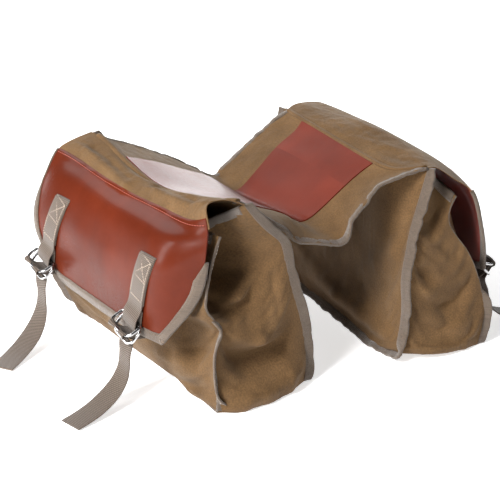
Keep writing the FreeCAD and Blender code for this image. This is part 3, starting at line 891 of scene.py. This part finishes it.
        # soften the turns between the runs
        for _ in range(10):
            D_[1:-1] = (D_[:-2] + D_[1:-1] + D_[2:]) / 3
        D_ = unit(D_)
        taper = np.interp(s_, [0, 0.03, 0.97, 1], [0.75, 1, 1, 0.75])
        if tag == "front":
            hid = np.clip((L_[:, 2] - (104 if S == "a" else 62)) / 14, 0, 1) * (L_[:, 1] < -100)
            taper = taper * (1 - 0.93 * hid)
            D_ = unit(D_ * (1 - hid[:, None]) + np.array([0.2 if S == "a" else -0.9, 0.6, 0]) * hid[:, None])
        wob = 1 + 0.13 * fbm(L_, 14, 3.0 + ord(S))
        Tp = L_ + D_ * (reach * taper * wob)[:, None]
        L2 = L_.copy()
        L2[:, 2] = np.maximum(L2[:, 2], 1.6)
        Tp[:, 2] = np.maximum(Tp[:, 2], 1.6)
        lumpy = S == "b" and tag == "back"
        ragged = 1.9 if lumpy else 0.45
        rings = tape("x", L2, Tp, TAPE, 3.6 if lumpy else 2.7, wave=1.6 if lumpy or (S == "a" and tag == "front") else 0.9, ragged=ragged,
                     seed=ord(S) + (0 if tag == "front" else 5))
        o = loft("bag_%s_%s_seam_tape" % (S, tag), to(rings), TAPE)
        finish_piece(o, "bag_" + S, ["bag_%s_%s_seam_binding" % (S, tag)])
        mid_r = rings[:, 3], rings[:, -4]
        for row, opp in (mid_r, mid_r[::-1]):
            lines.append((row * 0.7 + (L2 * 0.3), unit(row - opp), to))
    # --------------------------------------------------------- mouth tape
    def inward(P, Q):
        return unit(Q - P)
    E1 = F[3:-3, -1]
    D1 = inward(E1, F[3:-3, -8])
    N1 = np.broadcast_to([-1.0, 0, 0.0], E1.shape)
    r1 = wrap(E1, D1, N1, 10.5, 2.6, 2.4)
    o = loft("bag_%s_mouth_tape_front" % S, to(r1), TAPE)
    finish_piece(o, "bag_" + S, ["bag_%s_mouth_binding" % S])
    for tag, row, nxt, sg in (("near", 0, 3, -1.0), ("far", -1, -4, 1.0)):
        E2 = curve(G[row, 1:-1:2], 48)
        D2 = inward(E2, curve(G[nxt, 1:-1:2], 48))
        N2 = unit(np.cross(D2, np.gradient(E2, axis=0)))
        if (N2[:, 1].mean() > 0) != (sg > 0):
            N2 = -N2
        r2 = wrap(E2, D2, N2, 10.5, 1.7, 2.6)
        o = loft("bag_%s_mouth_tape_%s" % (S, tag), to(r2), TAPE)
        finish_piece(o, "bag_" + S)
        lines.append((E2 + D2 * 8 + N2 * 1.5, N2, to))
    lines.append((E1 + D1 * 8 + N1 * 2.9, N1, to))
    st = stitch_rows("bag_%s_seam_thread" % S, lines, THREAD, 4.2, 2.3, 0.36)
    finish_piece(st, "bag_" + S)

# ================================================================== flaps
FLAP = {
    "a": [
        seam_at("a", [-163, -130, -82, 0, 82, 130, 163]),
        [(-48, -153, 247), (-50, -130, 241), (-52, -82, 233), (-57, 0, 227), (-54, 82, 229), (-50, 130, 232), (-50, 165, 230)],
        [(-69, -152, 245), (-66, -130, 234), (-65, -82, 226.5), (-67, 0, 222), (-65, 82, 225), (-64, 130, 228), (-64, 165, 226)],
        [(-71, -157, 229), (-74, -132, 220), (-74, -82, 216.5), (-74, 0, 214), (-74, 82, 218), (-73, 130, 221), (-73, 165, 221)],
        [(-75, -165, 203), (-92, -132, 204), (-95, -82, 203), (-95, 0, 201), (-94, 82, 204), (-92, 132, 204), (-88, 165, 197)],
        [(-77, -164, 178), (-104, -131, 179), (-108, -82, 178), (-108, 0, 176), (-108, 82, 178), (-106, 132, 180), (-101, 164, 175)],
        [(-83, -155, 141), (-109, -126, 145), (-115, -79, 145), (-116, 0, 145), (-116, 78, 145), (-117, 124, 145), (-117, 150, 145)],
        [(-97, -142, 112), (-111, -115, 112), (-115.5, -72, 112), (-115, 0, 112), (-115, 70, 112), (-115, 116, 112), (-113, 141, 112)],
        [(-111, -125, 84), (-113, -102, 83), (-114, -63, 80), (-113, 0, 77.5), (-113, 62, 79), (-112, 100, 82), (-105, 128, 88)],
    ],
    "b": [
        seam_at("b", [-160, -128, -82, 0, 82, 125, 150]),
        [(31, -162, 241), (42, -131, 236), (48, -82, 234), (50, 0, 235), (50, 82, 233), (49, 130, 231), (47, 160, 229)],
        [(18, -163, 234), (19, -131, 237), (20, -82, 238), (20, 0, 240), (20, 82, 234), (20, 131, 230), (19, 163, 228)],
        [(2, -165, 222), (0, -132, 229), (-1, -82, 232), (0, 0, 232), (0, 82, 228), (0, 132, 225), (0, 165, 222)],
        [(-19, -165, 206), (-23, -132, 211), (-26, -82, 212), (-27, 0, 209), (-26, 82, 206), (-25, 132, 204), (-25, 165, 202)],
        [(-31, -165, 177), (-42, -131, 183), (-47, -82, 185), (-48, 0, 183), (-47, 82, 181), (-45, 131, 180), (-42, 165, 177)],
        [(-49, -154, 130), (-58, -123, 130), (-63, -76, 130), (-65, 0, 130), (-64, 76, 130), (-62, 122, 130), (-58, 154, 130)],
        [(-66, -134, 86), (-69, -106, 79), (-71, -66, 75), (-72, 0, 73), (-71, 66, 73), (-71, 106, 74), (-69, 134, 76)],
    ],
}
FKU = [-1, -0.8, -0.5, 0, 0.5, 0.8, 1]
FKV = {"a": [0, 0.10, 0.165, 0.22, 0.34, 0.46, 0.64, 0.82, 1.0], "b": [0, 0.09, 0.2, 0.3, 0.43, 0.56, 0.78, 1.0]}
LEAD = {"a": 0.215, "b": 0.44}
FLAPSURF = {}


def flap_at(S, us, vs):
    return net(FLAP[S], FKU, FKV[S], us, vs)


for S in "ab":
    to = WORLD[S]
    us = np.linspace(-1, 1, 141)
    vs = np.linspace(0, 1, 121)
    P = flap_at(S, us, vs)
    fade = edge_fade(141, 121, 0.06)
    N = normals(P)
    if N[70, 60, 0] > 0:
        N = -N
    # soft buckles: across the strip, and long vertical waves in the face
    strip = np.clip(1 - np.abs(vs - 0.13) / 0.13, 0, 1)[None, :] ** 0.7
    face = np.clip((vs - 0.3) / 0.2, 0, 1)[None, :]
    buck = strip * (2.4 * fbm(P * [1.6, 0.5, 1], 26, 3.0 + ord(S)) + 1.0 * fbm(P, 14, 6.0))
    longw = 1.0 * fbm(P * [0.4, 1.0, 0.22], 40, 11.0 + ord(S), 1)
    if S == "a":
        buck = buck + fade * folds(P[..., 1], P[..., 0], [(-3.5, 5, (120, -50), (20, -62)), (3.2, 4.5, (120, -58), (10, -70)),
                                                          (3, 5, (60, -32), (-20, -44)), (-3, 5, (-30, -52), (-110, -58)),
                                                          (3, 4, (-40, -60), (-130, -62))]) * (vs < 0.3)[None, :]
    P = P + N * (fade * (buck + face * longw))[..., None]
    FLAPSURF[S] = (us, vs, P)
    seam = SEAM_A if S == "a" else SEAM_B
    j0 = int(LEAD[S] * 120)
    can, _ = cloth("flap_%s_cloth" % S, to(P[:, :j0 + 6]), CANVAS, 1.0, out=1 if S == "a" else -1)
    W3 = to(P)
    hinge = W3[70, 0]
    lead_pt = W3[70, 14]
    finish_piece(can, None, ["flap_%s_canvas" % S],
                 ("bag_" + S, "flap_" + S, tuple(hinge), tuple(lead_pt)))
    # leather face, sewn over the strip's edge
    ins = 1
    PL = (P + N * 1.3)[ins:-ins, j0:-1]
    # rounded free edge along the top
    PL[:, 0] = (P + N * 0.2)[ins:-ins, j0]
    # flap B's inside face uses the lighter leather copy, which is painted light on that inside; flap A's inside uses
    # the plain edge leather
    le, _ = cloth("flap_%s_face" % S, to(PL), LEATHER, 1.9, out=1 if S == "a" else -1, back_mat=LEATHER_EDGE if S == "a" else LEATHER_BACK_PAINTED_LIT)
    finish_piece(le, "flap_" + S, ["flap_%s_leather" % S])
    # binding: near edge, hem, far edge in one run; narrow on the upright parts
    jn = j0 + 1
    jm = jn if S == "b" else int(np.argmax(P[0, :, 2] < 186))
    E = np.concatenate([P[0, jm:], P[1:-1, -1], P[-1, jn:][::-1]])
    I = np.concatenate([P[6, jm:], P[1:-1, -7], P[-7, jn:][::-1]])
    NN = np.concatenate([N[0, jm:], N[1:-1, -1], N[-1, jn:][::-1]])
    s = np.r_[0, np.cumsum(np.linalg.norm(np.diff(E, axis=0), axis=1))]
    n = int(s[-1] / 3.0)
    t = np.linspace(0, s[-1], n)
    g = lambda A: np.stack([np.interp(t, s, A[:, k]) for k in range(3)], -1)
    E, I, NN = g(E), g(I), unit(g(NN))
    zz = E[:, 2]
    D = unit(I - E)
    for _ in range(6):
        D[1:-1] = (D[:-2] + D[1:-1] + D[2:]) / 3
        NN[1:-1] = (NN[:-2] + NN[1:-1] + NN[2:]) / 3
    D, NN = unit(D), unit(NN)
    top = {"a": 178, "b": 166}[S]
    wd = np.where(zz > top + 8, 3.2, np.where(zz < top - 14, 12.5, 3.2 + 9.3 * (top + 8 - zz) / 22))
    wd = wd + 0.5 * fbm(E, 12, 4.0)
    rr = wrap(E, D, NN, wd, 2.5, 1.9, np.maximum(wd - 1.5, 2.5))
    rr = rr + NN[:, None] * 0.5 * fbm(E, 16, 9.0)[:, None, None]
    bi = loft("flap_%s_tape" % S, to(rr), TAPE)
    finish_piece(bi, "flap_" + S, ["flap_%s_binding" % S])
    keep = zz < top - 4
    seq = np.where(keep)[0]
    a_, b_ = seq[0], seq[-1]
    line_o = (E + D * (wd - 2.6)[:, None] + NN * 2.75)[a_:b_]
    st = [(line_o, NN[a_:b_], to)]
    so = stitch_rows("flap_%s_tape_thread" % S, st, THREAD_KHAKI, 4.0, 2.6, 0.34)
    finish_piece(so, "flap_" + S)
    # top edge of the leather: a row of pale stitches
    row = (P + N * 2.7)[2:-2, j0 + 3]
    st = stitch_rows("flap_%s_face_thread" % S, [(row, N[2:-2, j0 + 3], to)], THREAD_RED, 4.2, 2.9, 0.42, 0.15)
    finish_piece(st, "flap_" + S)

# ================================================= tabs, rings and straps
TABS = {
    "a": dict(t0=(-115.5, 190.0), d=(0.0, -1.0), near=(-79.0, 2.0, 15.0), far=(119.0, 9.0, 18.0),
              anchor=[(-60.5, 14), (-64.0, 40)]),
    "b": dict(t0=None, d=None, near=(-97.0, 0.0, 0.0), far=(97.0, 0.0, 0.0), anchor=[(-54.5, 10), (-57.0, 34)]),
}
fx, fz = (-56.0 + 70.0), (160.0 - 72.0)
ln = math.hypot(fx, fz)
dB = (-fx / ln, -fz / ln)
TABS["b"]["d"] = dB
nB = (dB[1], -dB[0])
TABS["b"]["t0"] = (-70 - 104 * dB[0] + 1.5 * nB[0], 72 - 104 * dB[1] + 1.5 * nB[1])
RING_DEPTH, WIRE = 20.0, 1.75
for S in "ab":
    q = TABS[S]
    d, t0 = q["d"], q["t0"]
    n2 = (d[1], -d[0])
    pin = (t0[0] + 94 * d[0] + 5.5 * n2[0], t0[1] + 94 * d[1] + 5.5 * n2[1])
    to = WORLD[S]
    us, vs, P = FLAPSURF[S]
    for where in ("near", "far"):
        y0, rise, lean = q[where]
        la = math.radians(lean)

        def put(u, v, w=0.0):
            """Tab frame (down the flap, out, across) to the bag's local frame."""
            u, v, w = np.broadcast_arrays(np.asarray(u, float), np.asarray(v, float), np.asarray(w, float))
            X = t0[0] + u * d[0] + v * n2[0]
            Z = t0[1] + u * d[1] + v * n2[1]
            Y = w
            dz = Z - pin[1]
            return np.stack([X, Y * math.cos(la) - dz * math.sin(la) + y0,
                             pin[1] + Y * math.sin(la) + dz * math.cos(la) + rise], -1)

        def stuck(p, lift):
            """Lay points on the flap's outer face, lift mm off it."""
            out_ = p.copy()
            flat_p = P.reshape(-1, 3)
            for i, c in enumerate(p):
                dd = (flat_p[:, 1] - c[1]) ** 2 + (flat_p[:, 2] - c[2]) ** 2 + 0.02 * (flat_p[:, 0] - c[0]) ** 2
                k = np.argsort(dd)[:4]
                out_[i, 0] = flat_p[k, 0].mean() - lift
            return out_

        side = put(0, 0, 1) - put(0, 0, 0)
        # front layer: lies on the leather, then round the rings' bars and back
        u1 = np.linspace(8, 70, 40)
        lay = stuck(put(u1, 0.9), 3.5)
        loop_pts = [(76, 5.0), (84, 8.6), (92, 9.4), (98, 8.9), (101.2, 6.2), (99.5, 2.9), (93, 1.8), (84, 1.2), (74, 0.4)]
        lp = put([p[0] for p in loop_pts], [p[1] for p in loop_pts])
        lp[:, 0] = np.minimum(lp[:, 0], stuck(lp, 2.0)[:, 0] - 0.2)
        line = curve(np.concatenate([lay[::6], lp]), 110)
        wob = np.broadcast_to(side, line.shape)
        o = ribbon("ring_tab_%s_%s_webbing" % (S, where), to(line), to(line + wob) - to(line), 26.5, 1.7, WEB, slant=math.tan(la))
        finish_piece(o, "flap_" + S, ["ring_tab_%s_%s" % (S, where)])
        # under layer, a little wider so its edge shows, and the box stitch
        u2 = np.linspace(7.0, 66, 30)
        l2 = stuck(put(u2, 0.2), 2.15)
        o = ribbon("ring_tab_%s_%s_under" % (S, where), to(l2), to(l2 + side) - to(l2), 27.2, 1.5, WEB, slant=math.tan(la))
        finish_piece(o, "flap_" + S)
        L_ = []
        for w_ in (-11.3, 11.3):
            pts = stuck(put(np.linspace(10, 62, 24), 0.9, w_), 4.4)
            L_.append((pts, np.array([-1.0, 0, 0]), to))
        for u_ in (10.5, 36, 61.5):
            pts = stuck(put(np.full(16, u_), 0.9, np.linspace(-11.3, 11.3, 16)), 4.4)
            L_.append((pts, np.array([-1.0, 0, 0]), to))
        for sg in (1, -1):
            pts = stuck(put(np.linspace(11, 35, 20), 0.9, sg * np.linspace(-11, 11, 20)), 4.45)
            L_.append((pts, np.array([-1.0, 0, 0]), to))
        o = stitch_rows("ring_tab_%s_%s_thread" % (S, where), L_, THREAD_TAB, 3.6, 2.6, 0.6, 0.0)
        finish_piece(o, "flap_" + S)

        # the strap: from the bag's front up behind the hem, through both
        # rings, over the outer one and down to the floor
        c1, s1 = math.cos(math.radians(62)), math.sin(math.radians(62))
        c2, s2 = math.cos(math.radians(35)), math.sin(math.radians(35))
        up_u, up_v = 91 + RING_DEPTH * c1, 5.5 + RING_DEPTH * s1
        rr_ = WIRE + 0.55 + 0.8
        turn = []
        for a in range(0, 271, 45):
            ca, sa = math.cos(math.radians(a)), math.sin(math.radians(a))
            turn.append((up_u + rr_ * (-ca * c1 - sa * s1), up_v + rr_ * (-ca * s1 + sa * c1)))
        so_ = RING_DEPTH - WIRE - 0.4 - 0.8
        p_in = (97 + (so_ - 4.2) * c2, 5.5 + (so_ - 4.2) * s2)
        p_out = (97 + so_ * c2, 5.5 + so_ * s2)
        a0, a1 = q["anchor"]
        Fs = BAG[S]["F"].reshape(-1, 3)

        def on_front(z, lift=1.6):
            """Place on the bag's front panel behind this tab."""
            yy = y0 + (12 if lean else 0) * (z - 80) / -40
            k = np.argsort((Fs[:, 1] - yy) ** 2 + (Fs[:, 2] - z) ** 2)[:4]
            return (Fs[k, 0].min() - lift, yy, z)

        zt = {"a": (112, 94, 80), "b": (98, 80, 66)}[S]
        pre = [on_front(zt[0]), on_front(zt[1]), on_front(zt[2], 3.0)]
        body_pts = [tuple(put(113.5 if S == "a" else 114, -3.6)), tuple(put(*p_in))] + \
            [tuple(put(*p)) for p in turn] + [tuple(put(*p_out)), tuple(put(117.5, 10.6))]
        ex = put(117.5, 10.6)
        if S == "a" and where == "near":
            tail = [(-129, -75, 60), (-132, -76, 42), (-141, -78, 27), (-160, -82, 14), (-184, -87, 6), (-211, -92, 2.2)]
            tw = [(0.0, 1.0), (0.12, 1.0), (0.12, 1.0), (0.05, 1.0), (-0.1, 1.0), (-0.2, 1.0), (-0.25, 1)]
        elif S == "a":
            tail = [(-129, 121, 66), (-132, 117, 48), (-141, 111, 31), (-160, 100, 16), (-186, 87, 6), (-211, 73, 2.2)]
            tw = [(0.0, 1.0), (0.16, 1.0), (0.12, 1.0), (0.0, 1.0), (-0.25, 1.0), (-0.35, 0.95), (-0.45, 0.9)]
        elif where == "near":
            tail = [(-87, -97, 45), (-90, -98, 30), (-98, -99, 17), (-114, -102, 7), (-134, -106, 3.2), (-156, -110, 2.2)]
            tw = [(0, 1.0), (0.2, 1), (0.2, 1), (0.1, 1.0), (-0.1, 1.0), (-0.15, 1.0), (-0.2, 1)]
        else:
            tail = [(-87, 97, 45), (-90, 98, 30), (-98, 99, 17), (-114, 102, 7), (-134, 106, 3.2), (-156, 110, 2.2)]
            tw = [(0, 1.0), (-0.2, 1), (-0.2, 1), (-0.1, 1.0), (0.1, 1.0), (0.15, 1.0), (0.2, 1)]
        allp = np.array(pre + body_pts + tail)
        n_pre, n_body = len(pre), len(body_pts)
        C = curve(allp, 260)
        # share of the way of each control point, to spread width and twist
        idx = [int(np.argmin(np.linalg.norm(C - p, axis=1))) for p in allp]
        for k in range(1, len(idx)):
            idx[k] = max(idx[k], idx[k - 1] + 1)
        wid = [28, 27, 25, 24] + [27] + [30.5] * len(turn) + [28, 27.5] + [28, 29, 30, 30, 30, 30]
        W_ = np.interp(np.arange(260), idx, wid)
        sd = [tuple(side)] * n_pre + [tuple(side)] * (n_body) + [(a, b, 0) for a, b in tw[1:]]
        SD = np.stack([np.interp(np.arange(260), idx, [v[k] for v in sd]) for k in range(3)], -1)
        bulge = np.interp(np.arange(260), idx, [0, 0, 0, 0.4] + [0.9] + [2.4] * len(turn) + [1.6, 0.8] + [0.5, 0.2, 0, 0, 0, 0])
        C[:, 2] = np.maximum(C[:, 2], 1.4)
        o = ribbon("strap_%s_%s_webbing" % (S, where), to(C), to(C + SD) - to(C), W_, 1.6, WEB, crown=bulge)
        W0 = to(np.array([[pre[2][0] - 0.5, pre[2][1], pre[2][2]]]))[0]
        W1 = to(np.array([[body_pts[0][0] + 0.5, pre[2][1], pre[2][2]]]))[0]
        finish_piece(o, None, ["strap_%s_%s" % (S, where)],
                     ("bag_" + S, "flap_" + S, tuple(W0), tuple(W1)))
        for k in ("upper", "lower"):
            r_ = frame["nodes"]["%s_ring_%s_%s" % (k, S, where)]
            r_.data.materials.clear()
            r_.data.materials.append(STEEL)
            r_.data.polygons.foreach_set("use_smooth", [True] * len(r_.data.polygons))

# ================================================================= bridge
# rows across from seam A to seam B, points from the near to the far edge,
# in the fitted row frame before the shift
BR = [
    [tuple(raw_a(c)) for c in seam_at("a", [-145, -110, -75, -20, 30, 90, 142])],
    [(-128, -144, 224), (-132, -110, 219), (-138, -75, 213), (-150, -20, 209), (-152, 30, 212), (-153, 90, 219), (-152, 142, 222.5)],
    [(-107, -141, 207), (-106, -108, 208), (-109, -72, 203), (-118, -18, 198), (-120, 32, 200), (-122, 90, 206), (-126, 143, 210.5)],
    [(-86, -143, 188), (-78, -108, 194), (-79, -70, 191), (-85, -15, 186), (-87, 35, 187), (-90, 90, 192), (-97, 143, 195)],
    [(-66, -147, 171), (-53, -110, 180), (-51, -70, 178), (-54, -12, 173), (-54, 38, 172), (-58, 90, 174), (-66, 143, 178)],
    [(-40, -150, 167), (-31, -112, 168), (-29, -70, 166), (-28, -10, 161), (-28, 40, 156), (-29, 90, 153), (-26, 144, 155)],
    [(-12, -151, 162), (-8, -113, 172), (-6, -70, 174), (-6, -8, 172), (-6, 42, 168), (-4, 92, 164), (-6, 152, 157.5)],
    [(-3, -151, 184), (12, -114, 187), (16, -70, 190), (18, -6, 189), (19, 45, 186), (20, 94, 183), (16, 151, 173)],
    [(15, -152, 206), (31, -116, 204), (36, -70, 204), (39, -6, 205), (42, 48, 204), (43, 96, 200), (39, 148, 191)],
    [(34, -156, 226), (48, -120, 217), (53, -72, 216), (58, -8, 217), (63, 48, 216), (66, 98, 214), (63, 148, 208)],
    [tuple(raw_b(c)) for c in seam_at("b", [-161, -126, -72, 0, 58, 108, 148])],
]
BKU = [-1, -0.77, -0.52, -0.1, 0.26, 0.66, 1]
BKV = [0, 0.1, 0.2, 0.32, 0.44, 0.53, 0.62, 0.72, 0.82, 0.91, 1.0]
CUTS = [0.22, 0.80]
NU, NV = 121, 151
bus = np.linspace(-1, 1, NU)
bvs = np.linspace(0, 1, NV)
BP = net(BR, BKU, BKV, bus, bvs)
BN = normals(BP)
if BN[60, 30, 2] < 0:
    BN = -BN
fd = edge_fade(NU, NV, 0.08, "bt")
off = np.clip(np.maximum(-0.62 - bus, bus - 0.565) / 0.06, 0, 1)[:, None]
wr = 1.6 * fbm(BP * [1, 0.6, 1], 62, 21.0, 1) + off * (1.2 * fbm(BP * [1, 0.6, 1], 30, 25.0) + 0.7 * fbm(BP, 15, 23.0))
valley = np.exp(-((bvs - 0.53) / 0.035) ** 2)[None, :]
BP = BP + BN * (fd * wr * (1 - 0.5 * valley))[..., None]
patch_u = (-0.60, 0.545)


def bridge_parts():
    """The three runs of the bridge, each across one fold: rows, bodies, ends."""
    k0, k1 = int(round(CUTS[0] * (NV - 1))), int(round(CUTS[1] * (NV - 1)))
    mid = NU // 2
    W_ = ww(BP)
    return [("seam_a", slice(0, k0 + 1), ("bag_a", "bridge_a"), W_[mid, 0], W_[mid, int(NV * 0.09)]),
            ("valley", slice(k0, k1 + 1), ("bridge_a", "bridge_b"), W_[mid, int(NV * 0.47)], W_[mid, int(NV * 0.59)]),
            ("seam_b", slice(k1, NV), ("bridge_b", "bag_b"), W_[mid, int(NV * 0.91)], W_[mid, NV - 1])]


parts = bridge_parts()
for tag, sl, bodies, st_, en_ in parts:
    G = BP[:, sl]
    o, _ = cloth("bridge_cloth_" + tag, ww(G), CANVAS, 1.2, out=1)
    rep = {"seam_a": [], "valley": ["bridge_a_canvas", "bridge_b_canvas"], "seam_b": []}[tag]
    finish_piece(o, None, rep, (bodies[0], bodies[1], tuple(st_), tuple(en_)))
    a_ = area_of(G) / 1e6
    i0, i1 = int(round((patch_u[0] + 1) / 2 * (NU - 1))), int(round((patch_u[1] + 1) / 2 * (NU - 1)))
    PL = (BP + BN * 1.35)[i0:i1 + 1, sl]
    if tag == "seam_a":
        PL = PL[:, 2:]
    if tag == "seam_b":
        PL = PL[:, :-2]
    o, _ = cloth("bridge_patch_" + tag, ww(PL), PATCH, 1.3, out=1, back_mat=LEATHER_EDGE)
    rep = {"seam_a": [], "valley": ["bridge_a_leather", "bridge_b_leather"], "seam_b": []}[tag]
    finish_piece(o, None, rep, (bodies[0], bodies[1], tuple(st_), tuple(en_)))
    for edge, ii, sgn in (("near", 0, 1), ("far", NU - 1, -1)):
        E = BP[ii, sl]
        I = BP[ii + sgn * 5, sl]
        nn = BN[ii, sl]
        m = max(8, int(np.linalg.norm(np.diff(E, axis=0), axis=1).sum() / 2.6))
        E, I, nn = (curve(x_, m) if x_ is not nn else x_ for x_ in (E, I, nn))
        nn = unit(np.stack([np.interp(np.linspace(0, 1, m), np.linspace(0, 1, len(BN[ii, sl])), BN[ii, sl][:, k])
                            for k in range(3)], -1))
        D = unit(I - E)
        rag = 1.6 if edge == "far" else 1.2
        E = E + nn * (rag * fbm(E, 10, 31.0))[:, None] - D * (rag * 0.8 * fbm(E, 13, 35.0))[:, None]
        rr = wrap(E, D, nn, 9.0 + 1.2 * fbm(E, 11, 2.0), 1.7, 2.3)
        o = loft("bridge_tape_%s_%s" % (edge, tag), ww(rr), TAPE)
        rep = {("seam_a", "near"): ["bridge_a_binding"], ("seam_b", "near"): ["bridge_b_binding"]}.get((tag, edge), [])
        finish_piece(o, None, rep, (bodies[0], bodies[1], tuple(st_), tuple(en_)))
        so = stitch_rows("bridge_tape_thread_%s_%s" % (edge, tag), [(E + D * 6.6 + nn * 2.0, nn, ww)], THREAD_KHAKI, 4.0, 2.5, 0.34)
        finish_piece(so, None, (), (bodies[0], bodies[1], tuple(st_), tuple(en_)))
    L_ = []
    for i in (i0 + 1, i1 - 1):
        L_.append(((BP + BN * 1.6)[i, sl], BN[i, sl], ww))
    so = stitch_rows("bridge_patch_thread_" + tag, L_, THREAD_DARK, 3.6, 2.6, 0.36)
    finish_piece(so, None, (), (bodies[0], bodies[1], tuple(st_), tuple(en_)))

for S in "ab":
    ys_ = np.linspace(-158 if S == "b" else -146, 144, 90)
    L_ = np.array(seam_at(S, ys_, -0.6))
    L_[:, 2] += 0.4 * fbm(L_, 18, 41.0)
    ang = np.linspace(0, 2 * np.pi, 12, endpoint=False)
    up = np.array([0, 0, 1.0])
    ax = np.array([1.0, 0, 0])
    rings = L_[:, None] + np.cos(ang)[None, :, None] * ax * 3.6 + np.sin(ang)[None, :, None] * up * 2.3
    o = loft("seam_fold_" + S, WORLD[S](rings), CANVAS)
    finish_piece(o, "bag_" + S)

# ============================================================ room, camera
def stage_plane():
    me = bpy.data.meshes.new("floor")
    me.from_pydata([(-9, -9, 0), (9, -9, 0), (9, 9, 0), (-9, 9, 0)], [], [(0, 1, 2, 3)])
    n = Nodes("floor")
    n.set(Base_Color=(0.93, 0.93, 0.93, 1), Roughness=0.9, Specular_IOR_Level=0.1)
    n.set(Emission_Color=(1, 1, 1, 1), Emission_Strength=0.62)
    me.materials.append(n.m)
    o = bpy.data.objects.new("floor", me)
    bpy.context.scene.collection.objects.link(o)
    o.location.z = -0.0004


stage_plane()
sc = bpy.context.scene
w = bpy.data.worlds.new("studio")
w.use_nodes = True
w.node_tree.nodes["Background"].inputs[0].default_value = (1, 1, 1, 1)
w.node_tree.nodes["Background"].inputs[1].default_value = 0.1
sc.world = w


def area(name, at, aim, size, power, size_y=None, color=(1, 1, 1)):
    l = bpy.data.lights.new(name, "AREA")
    l.shape = "RECTANGLE"
    l.size, l.size_y = size, size_y or size
    l.energy = power
    l.color = color
    o = bpy.data.objects.new(name, l)
    o.location = at
    o.rotation_euler = (Vector(aim) - Vector(at)).to_track_quat("-Z", "Y").to_euler()
    sc.collection.objects.link(o)


area("key", (-2.2, -0.85, 2.0), (-0.1, 0, 0.12), 0.9, 165, 1.1)
area("gloss", (-1.5, 0.5, 0.62), (-0.1, 0, 0.15), 0.35, 12, 0.9)
area("front", (-1.7, -0.95, 0.9), (0.05, 0, 0.1), 0.6, 9)
area("top", (-0.25, 1.5, 1.3), (0, 0, 0.15), 0.9, 8)
area("back", (1.35, 1.75, 0.42), (0, 0, 0.2), 1.9, 40, 0.9)
area("fill", (1.3, -1.2, 0.5), (0.1, 0, 0.1), 0.6, 0.8)

cam = bpy.data.cameras.new("camera")
cam.lens = 100.8
cam.sensor_width = 36
cam.clip_start, cam.clip_end = 0.05, 60
co = bpy.data.objects.new("camera", cam)
co.location = (np.array([-839.655, -1361.40, 765.774]) + SHIFT) / 1000
co.rotation_euler = (math.radians(67.289), 0, math.radians(-30.147))
sc.collection.objects.link(co)
sc.camera = co
sc.view_settings.view_transform = "Standard"
